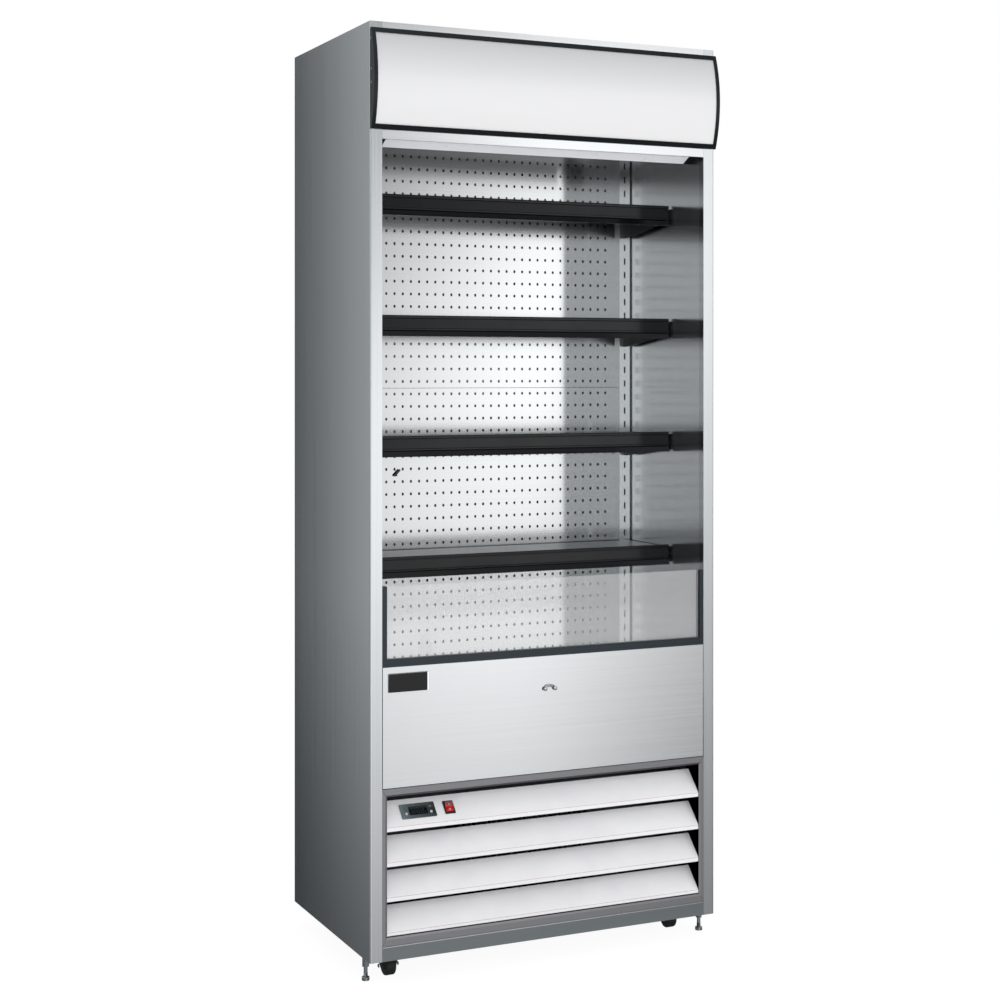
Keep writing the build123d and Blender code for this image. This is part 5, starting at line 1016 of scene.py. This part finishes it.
build = bmesh.new()
for x in LAMP_PLACES:
    add_bar(build, x - LAMP_HALF, x + LAMP_HALF, LAMP_LOW, LAMP_HIGH, *LAMP_SKIN)
bmesh.ops.transform(build, matrix=slope_matrix(CONTROLLER_X, FACE_OUT), verts=build.verts)
add_piece("indicator_lamps", build, "abs_grey")

# %% [markdown]
# ## Mitre joints
# The surround of the louvres is four extrusions cut at an angle and pushed together, so a fine
# dark line runs across each corner. Each line is a thin strip lying on the front face, made
# along X and then turned.

# %% Lines across the corners
GRILLE_HALF = 378.3
GRILLE_LOW = 30.3
GRILLE_HIGH = 349.0
GRILLE_SIDE = 11.0
GRILLE_TOP_BORDER = 16.6
GRILLE_LOW_BORDER = 17.0
GRILLE_BEVEL = 4.0
JOINT_HALF = 0.25
JOINT_OUT, JOINT_IN = 0.05, 0.02


def add_line(build, start, run, rise):
    """A thin dark strip on the front plane, from a point along a run and a rise in mm."""
    low = Vector((0, -JOINT_OUT, -JOINT_HALF)) * MM
    high = Vector((hypot(run, rise), JOINT_IN, JOINT_HALF)) * MM
    turn = Matrix.Rotation(-atan2(rise, run), 4, "Y")
    strip = add_box(build, low, high)
    bmesh.ops.transform(build, matrix=Matrix.Translation(start) @ turn, verts=strip)


build = bmesh.new()
for side in (-1, 1):
    for outer, border, way in ((GRILLE_LOW, GRILLE_LOW_BORDER, 1), (GRILLE_HIGH, GRILLE_TOP_BORDER, -1)):
        corner = place(side * GRILLE_HALF, 0, outer)
        add_line(build, corner, side * (GRILLE_BEVEL - GRILLE_SIDE), way * (border - GRILLE_BEVEL))
add_piece("mitre_joints", build, "seam_shadow")

# %% [markdown]
# ## Painted highlight, fold lines and painted gap shadow
# Along the top of the base, below the surround, the steel is folded, and a thin strip of bright
# brushed steel along the fold is a painted highlight, a fine bright line. On the blades a faint
# warm line runs along the fold above each lip. A strip of black rubber under the lowest blade is
# painted shadow for the gap there. All of these are long thin boxes that stand out by a few
# tenths of a millimetre.

# %% Base highlight, blade fold lines and gap shadow
BASE_EDGE_HALF = GRILLE_HALF - 1
BASE_EDGE_LOW, BASE_EDGE_HIGH = 27.6, 28.9
EDGE_OUT, EDGE_IN = 0.3, 0.2
BLADE_HALF = 366.9
BLADE_COUNT = 4
BLADE_PITCH = 71.2
BLADE_SINK = 0.05
FOLD_LINE_OUT, FOLD_LINE_TALL, FOLD_LINE_BELOW = 0.12, 0.9, 0.1
GAP_SHADOW_LOW, GAP_SHADOW_HIGH = 47.7, 49.7
GAP_SHADOW_OUT = 0.5


def add_strip(build, half_length, depth_low, depth_high, low, high):
    """A long thin box across the front, between two depths and two heights in mm."""
    add_box(build, place(-half_length, depth_low, low), place(half_length, depth_high, high))


# Painted highlight: a strip of bright steel along the fold at the top of the base.
build = bmesh.new()
add_strip(build, BASE_EDGE_HALF, -EDGE_OUT, EDGE_IN, BASE_EDGE_LOW, BASE_EDGE_HIGH)
add_piece("painted_base_highlight", build, "stainless_brushed_across")

# A faint warm line along the fold above each blade's lip.
build = bmesh.new()
for blade in range(BLADE_COUNT):
    high = FOLD_HEIGHT - BLADE_PITCH * blade - FOLD_LINE_BELOW
    add_strip(build, BLADE_HALF, FOLD_DEPTH - FOLD_LINE_OUT, FOLD_DEPTH + BLADE_SINK, high - FOLD_LINE_TALL, high)
add_piece("blade_folds", build, "fold_line_tan")

# Painted shadow: a black strip in the gap under the lowest blade.
build = bmesh.new()
add_strip(build, BLADE_HALF, FOLD_DEPTH - GAP_SHADOW_OUT, FOLD_DEPTH + BLADE_SINK, GAP_SHADOW_LOW, GAP_SHADOW_HIGH)
add_piece("painted_gap_shadow", build, "rubber_black")

# %% [markdown]
# ## Screws
# Pan-head screws hold the back and the canopy's end caps. One head is spun from its half-profile,
# and a dark cross, painted shade for the recess, lies in its top. A list of places and directions
# does the rest.

# %% Screw heads
SCREW_PROFILE = [(0, 1.7), (1.9, 1.6), (3.1, 1.1), (3.6, 0.0), (0, 0.0)]
CROSS_HALF = (1.7, 0.35)
CROSS_OUT = (1.5, 1.74)


def add_screws(name, places, scale=1.0):
    """Screw heads at (point, direction) places, and the dark crosses in them, which are painted shade."""
    heads, crosses = bmesh.new(), bmesh.new()
    for where, towards in places:
        matrix = turned(where, towards) @ Matrix.Scale(scale, 4)
        spin_profile(heads, SCREW_PROFILE, matrix, steps=16)
        for half_x, half_y in (CROSS_HALF, CROSS_HALF[::-1]):
            bar = add_bar(crosses, -half_x, half_x, -half_y, half_y, *CROSS_OUT)
            bmesh.ops.transform(crosses, matrix=matrix, verts=bar)
    add_piece(name, heads, "zinc_plate", smooth=True)
    add_piece(name + "_crosses", crosses, "seam_shadow")


REAR_DEPTH = 478.8
REAR_SIDE_X = 370
REAR_HEIGHTS = (120, 340, 640, 940, 1240, 1540, 1840)
REAR_TOP = 1868
REAR_TOP_X = (-185, 0, 185)
rear_places = [
    (place(x, REAR_DEPTH, height), (0, 1, 0))
    for x in (-REAR_SIDE_X, REAR_SIDE_X)
    for height in REAR_HEIGHTS
]
rear_places += [(place(x, REAR_DEPTH, REAR_TOP), (0, 1, 0)) for x in REAR_TOP_X]
add_screws("rear_screws", rear_places)

CAP_X = 405.0
CAP_SCREWS = ((-8, 1806), (-8, 1779), (-6, 1868))
CAP_SCREW_SCALE = 0.7
cap_places = [
    (place(side * CAP_X, depth, height), (side, 0, 0)) for side in (-1, 1) for depth, height in CAP_SCREWS
]
add_screws("canopy_screws", cap_places, scale=CAP_SCREW_SCALE)

# %% [markdown]
# ## Casters
# Each front wheel turns on a bolt through its fork. The bolt's hexagon head and its washer show
# on both cheeks. A paler hub shows inside the tyre of all four wheels.

# %% Axle bolts and hubs
HUB_PROFILE = [(0, 0.35), (6.5, 0.35), (7.5, 0.0), (0, 0.0)]
WASHER_HIGH = 0.4
WASHER_PROFILE = [(0, WASHER_HIGH), (4.2, WASHER_HIGH), (4.4, 0.0), (0, 0.0)]
BOLT_RADIUS = 2.9
BOLT_TOP_RADIUS = 0.92 * BOLT_RADIUS
BOLT_HIGH = 1.3


def box_middle(low, high):
    """The middle of a box."""
    return (Vector(low) + Vector(high)) / 2


def add_axle_bolt(side_name):
    """The washer and the hexagon head on both cheeks of one fork."""
    axle = box_middle(*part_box(f"front_wheel_{side_name}"))
    fork_low, fork_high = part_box(f"caster_fork_{side_name}")
    build = bmesh.new()
    for fork_x, way in ((fork_low[0], -1), (fork_high[0], 1)):
        seat = Vector((fork_x, axle.y, axle.z))
        spin_profile(build, WASHER_PROFILE, turned(seat, (way, 0, 0)))
        head_middle = seat + Vector((way * (WASHER_HIGH + BOLT_HIGH / 2) * MM, 0, 0))
        bmesh.ops.create_cone(
            build,
            cap_ends=True,
            segments=6,
            radius1=BOLT_RADIUS * MM,
            radius2=BOLT_TOP_RADIUS * MM,
            depth=BOLT_HIGH * MM,
            matrix=turned(head_middle, (way, 0, 0)),
        )
    add_piece(f"axle_bolt_{side_name}", build, "zinc_plate", f"fork_{side_name}")


def add_hub(end, side_name):
    """The two hub caps of one wheel."""
    wheel = f"{end}_wheel_{side_name}"
    low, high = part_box(wheel)
    middle = box_middle(low, high)
    build = bmesh.new()
    for hub_x, way in ((low[0], -1), (high[0], 1)):
        spin_profile(build, HUB_PROFILE, turned((hub_x, middle.y, middle.z), (way, 0, 0)))
    add_piece(f"{end}_hub_{side_name}", build, "abs_grey", wheel, smooth=True)


for side_name in ("left", "right"):
    add_axle_bolt(side_name)
    for end in ("front", "rear"):
        add_hub(end, side_name)

# %% [markdown]
# ## Threads of the feet
# A levelling foot is an M8 bolt with a pad. Its thread shows above the pad, as far up as stays
# clear of the long nut when the foot is screwed right in. The real one is a helix; at this size
# rings 1.25 mm apart look the same and are simply spun from a zigzag profile.

# %% Foot threads
THREAD_RADIUS = 4.0
THREAD_DEPTH = 0.45
THREAD_PITCH = 1.25
THREAD_LOW = 8.2
THREAD_TURNS = 6
ROOT_RADIUS = THREAD_RADIUS + 0.02
zigzag = []
for ring in range(THREAD_TURNS):
    base = THREAD_LOW + THREAD_PITCH * ring
    zigzag += [(ROOT_RADIUS, base), (THREAD_RADIUS + THREAD_DEPTH, base + THREAD_PITCH / 2)]
zigzag.append((ROOT_RADIUS, THREAD_LOW + THREAD_PITCH * THREAD_TURNS))
for side_name in ("left", "right"):
    low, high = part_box(f"foot_{side_name}")
    middle = box_middle(low, high)
    build = bmesh.new()
    spin_profile(build, zigzag, turned((middle.x, middle.y, low[2]), (0, 0, 1)), steps=24)
    add_piece(f"foot_thread_{side_name}", build, "zinc_plate", f"foot_{side_name}")

# %% [markdown]
# ## Studio floor
# The floor is plain and pale. A product photographer stands the object on white paper and lights
# the paper until it is pure white, which a Light Path node does here: the camera sees almost only
# paper, with the object's soft shadow on it. Metal sees through the floor to the studio below.

# %% Floor
FLOOR_HALF = 14.0
PAPER_SHARE = 0.88
PAPER_LEVEL = 1.07
WHITE = (1, 1, 1, 1)


def add_stage(name, half, matrix):
    """A square of the studio, which is no part of the object."""
    build = bmesh.new()
    bmesh.ops.create_grid(build, x_segments=1, y_segments=1, size=half, matrix=matrix)
    mesh = bpy.data.meshes.new(name)
    build.to_mesh(mesh)
    build.free()
    piece = bpy.data.objects.new(name, mesh)
    bpy.context.scene.collection.objects.link(piece)
    return piece


floor = add_stage("floor", FLOOR_HALF, Matrix.Identity(4))
floor_tree, floor_shader = new_finish("studio_floor", "ebebeb", Roughness=0.9)
paper = add_node(floor_tree, "ShaderNodeEmission", {"Color": WHITE, "Strength": PAPER_LEVEL})
rays = add_node(floor_tree, "ShaderNodeLightPath")
seen = {0: rays.outputs["Is Camera Ray"], 1: PAPER_SHARE}
paper_share = add_node(floor_tree, "ShaderNodeMath", seen, operation="MULTIPLY").outputs["Value"]
on_paper = add_node(
    floor_tree,
    "ShaderNodeMixShader",
    {0: paper_share, 1: floor_shader.outputs["BSDF"], 2: paper.outputs["Emission"]},
)
open_floor = add_node(floor_tree, "ShaderNodeBsdfTransparent")
floor_mix = add_node(
    floor_tree,
    "ShaderNodeMixShader",
    {0: rays.outputs["Is Glossy Ray"], 1: on_paper.outputs["Shader"], 2: open_floor.outputs["BSDF"]},
)
feed(floor_tree, floor_tree.nodes["Material Output"], {"Surface": floor_mix.outputs["Shader"]})
floor.data.materials.append(FINISHES["studio_floor"])
print("floor", 2 * FLOOR_HALF, "m wide")

# %% [markdown]
# ## The room that metal sees
# Brushed steel shows the room more than its own colour, so the room is drawn with care, as the
# world's background. The pattern depends only on the direction in the room, so it stays still
# when the camera moves. Three numbers describe a direction here: how far it points ahead to the
# front of the room, how far across, and how far up.

# %% Directions in the room
SOFT_BOX_YAW = radians(26.1)
ahead_axis = (sin(SOFT_BOX_YAW), -cos(SOFT_BOX_YAW), 0)
across_axis = (cos(SOFT_BOX_YAW), sin(SOFT_BOX_YAW), 0)
up_axis = (0, 0, 1)

world = bpy.data.worlds.new("studio")
bpy.context.scene.world = world
world.use_nodes = True
sky = world.node_tree
looking = add_node(sky, "ShaderNodeTexCoord").outputs["Generated"]


def facing(axis, start, end, low=0, high=1):
    """low to high as the direction's part along an axis goes from start to end."""
    part = add_node(sky, "ShaderNodeVectorMath", {0: looking, 1: axis}, operation="DOT_PRODUCT")
    span = {"Value": part.outputs["Value"], "From Min": start, "From Max": end}
    return add_node(sky, "ShaderNodeMapRange", {**span, "To Min": low, "To Max": high}).outputs["Result"]


print("front of the room at", round(SOFT_BOX_YAW * 180 / pi, 1), "degrees")

# %% [markdown]
# ## The front of the room
# In front stands a tall bright soft box, a little to the right, and the light falls off towards
# the ceiling and the floor. Two ramps are multiplied, one over the height and one across. The
# bright part leans: the height is shifted by a sine of the direction across, so the edges of the
# light lie slanted on the steel. Near the left end of the second ramp is a narrow darker notch,
# like the gap between two windows.

# %% Front tones
LEAN = 0.22
LEAN_TURN = pi / 0.8
swing_angle = facing(across_axis, -1, 1, -LEAN_TURN, LEAN_TURN)
swing = add_node(sky, "ShaderNodeMath", {0: swing_angle}, operation="SINE").outputs["Value"]
leaning = {0: swing, 1: -LEAN, 2: facing(up_axis, -0.5, 0.5)}
rise = add_node(sky, "ShaderNodeMath", leaning, operation="MULTIPLY_ADD").outputs["Value"]

HEIGHT_STOPS = [
    (0.00, "5c5c5c"), (0.13, "707070"), (0.21, "8a8a8a"), (0.29, "aeaeae"), (0.40, "dadada"),
    (0.51, "ffffff"), (0.56, "fafafa"), (0.62, "dcdcdc"), (0.68, "b4b4b4"), (0.75, "7c7c7c"),
    (0.84, "b0b0b0"), (1.00, "c8c8c8"),
]
ACROSS_STOPS = [
    (0.00, "c8c8c8"), (0.05, "c0c0c0"), (0.085, "989898"), (0.12, "c0c0c0"), (0.22, "e0e0e0"),
    (0.42, "b4b4b4"), (0.46, "dcdcdc"), (0.50, "ffffff"), (0.54, "dcdcdc"), (0.58, "b4b4b4"),
    (0.80, "b0b0b0"),
]
height_tone, across_tone = (
    add_node(sky, "ShaderNodeValToRGB", {"Fac": value}, stops=stops).outputs["Color"]
    for value, stops in ((rise, HEIGHT_STOPS), (facing(across_axis, -1, 1), ACROSS_STOPS))
)
tones = {"Factor": 1.0, 6: height_tone, 7: across_tone}
front_tone = add_node(sky, "ShaderNodeMix", tones, data_type="RGBA", blend_type="MULTIPLY").outputs[2]
print("stops of the two ramps:", len(HEIGHT_STOPS), len(ACROSS_STOPS))

# %% [markdown]
# ## The back of the room
# Behind the fridge the room is a plain cool grey, a little lighter upwards. The front passes into
# it over the sides, so a side wall seen from the front mirrors a calm even tone.

# %% Rear tones
REAR_STOPS = [(0.0, "54585a"), (0.24, "6a6e70"), (0.40, "7c8082"), (1.0, "aeb2b4")]
rear_height = facing(up_axis, -0.35, 0.65)
rear_tone = add_node(sky, "ShaderNodeValToRGB", {"Fac": rear_height}, stops=REAR_STOPS).outputs["Color"]
tones = {"Factor": facing(ahead_axis, -0.1, 0.5), 6: rear_tone, 7: front_tone}
room_tone = add_node(sky, "ShaderNodeMix", tones, data_type="RGBA", blend_type="MIX").outputs[2]
print("stops of the rear ramp:", len(REAR_STOPS))

# %% [markdown]
# ## What each ray gets from the world
# Glossy rays get the room. Diffuse rays get an even level, which gives soft shadows. The camera
# sees white, also through the glass. A Light Path node tells these rays apart.

# %% World output
EVEN_LEVEL = 0.78
ROOM_LEVEL = 2.4
even = sky.nodes["Background"]
even.inputs["Color"].default_value = WHITE
even.inputs["Strength"].default_value = EVEN_LEVEL
room = add_node(sky, "ShaderNodeBackground", {"Color": room_tone, "Strength": ROOM_LEVEL})
white = add_node(sky, "ShaderNodeBackground", {"Color": WHITE, "Strength": 1.0})
sky_rays = add_node(sky, "ShaderNodeLightPath")
glossy_mix = add_node(
    sky,
    "ShaderNodeMixShader",
    {0: sky_rays.outputs["Is Glossy Ray"], 1: even.outputs["Background"], 2: room.outputs["Background"]},
)
straight_rays = {0: sky_rays.outputs["Is Camera Ray"], 1: sky_rays.outputs["Is Transmission Ray"]}
straight = add_node(sky, "ShaderNodeMath", straight_rays, operation="MAXIMUM").outputs["Value"]
white_mix = add_node(
    sky,
    "ShaderNodeMixShader",
    {0: straight, 1: glossy_mix.outputs["Shader"], 2: white.outputs["Background"]},
)
feed(sky, sky.nodes["World Output"], {"Surface": white_mix.outputs["Shader"]})
print("world ready, room level", ROOM_LEVEL)

# %% [markdown]
# ## A card beside the fridge
# The left side of the cabinet shows a slow fall from light at the front to dark at the back. A
# photographer gets that with a grey card that stands off the side, out of view, and is lit more
# at one end. The card here is a plane that only glossy rays see. Its tone falls along Y, and it
# glows less near the floor.

# %% Side card
CARD_X = -1.0
CARD_NEAR, CARD_FAR = 0.55, 6.0
CARD_LOW, CARD_TOP = -0.9, 2.6
CARD_LIGHT_END, CARD_DARK_END = 1.1, 2.3
CARD_DIM, CARD_FULL = -0.5, 0.6
CARD_DIM_LEVEL = 0.30
CARD_STOPS = [(0.0, "ced1d3"), (0.35, "9a9ea0"), (0.60, "3c4042"), (1.0, "16181a")]

card_middle = Vector((CARD_X, (CARD_NEAR + CARD_FAR) / 2, (CARD_LOW + CARD_TOP) / 2))
card_size = Matrix.Diagonal(((CARD_TOP - CARD_LOW) / 2, (CARD_FAR - CARD_NEAR) / 2, 1, 1))
card_turn = Matrix.Rotation(radians(90), 4, "Y")
card = add_stage("side_card", 1.0, Matrix.Translation(card_middle) @ card_turn @ card_size)

card_tree = new_finish("grey_card", "808080", Roughness=0.9)[0]
card_way = along(card_tree, "Y", CARD_LIGHT_END, CARD_DARK_END)
card_tone = add_node(card_tree, "ShaderNodeValToRGB", {"Fac": card_way}, stops=CARD_STOPS)
levels = {"Value": along(card_tree, "Z", CARD_DIM, CARD_FULL), "To Min": CARD_DIM_LEVEL}
glow_level = add_node(card_tree, "ShaderNodeMapRange", levels).outputs["Result"]
glow_values = {"Color": card_tone.outputs["Color"], "Strength": glow_level}
glow = add_node(card_tree, "ShaderNodeEmission", glow_values)
unseen = add_node(card_tree, "ShaderNodeBsdfTransparent")
card_rays = add_node(card_tree, "ShaderNodeLightPath")
card_mix = add_node(
    card_tree,
    "ShaderNodeMixShader",
    {0: card_rays.outputs["Is Glossy Ray"], 1: unseen.outputs["BSDF"], 2: glow.outputs["Emission"]},
)
feed(card_tree, card_tree.nodes["Material Output"], {"Surface": card_mix.outputs["Shader"]})
card.data.materials.append(FINISHES["grey_card"])
print("card at x", CARD_X, "m")

# %% [markdown]
# ## Soft box
# One large area light in front gives the soft shadows. Metal already sees a soft box in the room,
# so this lamp is hidden from glossy rays, or the two would show side by side.

# %% Soft box
SOFT_BOX_WIDTH, SOFT_BOX_TALL = 2.6, 2.2
SOFT_BOX_WATTS = 50
SOFT_BOX_PLACE = Vector((0.6, -3.8, 1.9))
SOFT_BOX_AIM = Vector((0, 0, 0.9))
soft_box = bpy.data.lights.new("soft_box", "AREA")
soft_box.shape = "RECTANGLE"
soft_box.size = SOFT_BOX_WIDTH
soft_box.size_y = SOFT_BOX_TALL
soft_box.energy = SOFT_BOX_WATTS
soft_box_object = bpy.data.objects.new("soft_box", soft_box)
soft_box_object.location = SOFT_BOX_PLACE
soft_box_object.visible_glossy = False
soft_box_object.rotation_euler = (SOFT_BOX_AIM - SOFT_BOX_PLACE).to_track_quat("-Z", "Y").to_euler()
bpy.context.scene.collection.objects.link(soft_box_object)
print("soft box", SOFT_BOX_WATTS, "W")

# %% [markdown]
# ## What the rear wall doesn't mirror
# Seen from the camera, the low part of the rear wall would mirror the dark inside of the front
# wall, and its top the back of the light box. On the real fridge both places show the bright
# room. So these parts are left out of reflections. They look the same when seen directly.

# %% Parts left out of reflections
FRONT_PARTS = ["front_panel", "well_tray", "foam_insulation", "glass_channel", "header_panel"]
LIGHT_PARTS = ["lamp_housing", "lamp_diffuser", "canopy_frame", "canopy_tray", "canopy_lens", "canopy_lamps"]
NOT_MIRRORED = FRONT_PARTS + LIGHT_PARTS
for node_name in NOT_MIRRORED:
    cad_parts[node_name].visible_glossy = False
print("parts left out of reflections:", len(NOT_MIRRORED))

# %% [markdown]
# ## View settings and the last line
# The Standard transform shows each colour as it was written.

# %% Finish
bpy.context.scene.view_settings.view_transform = "Standard"
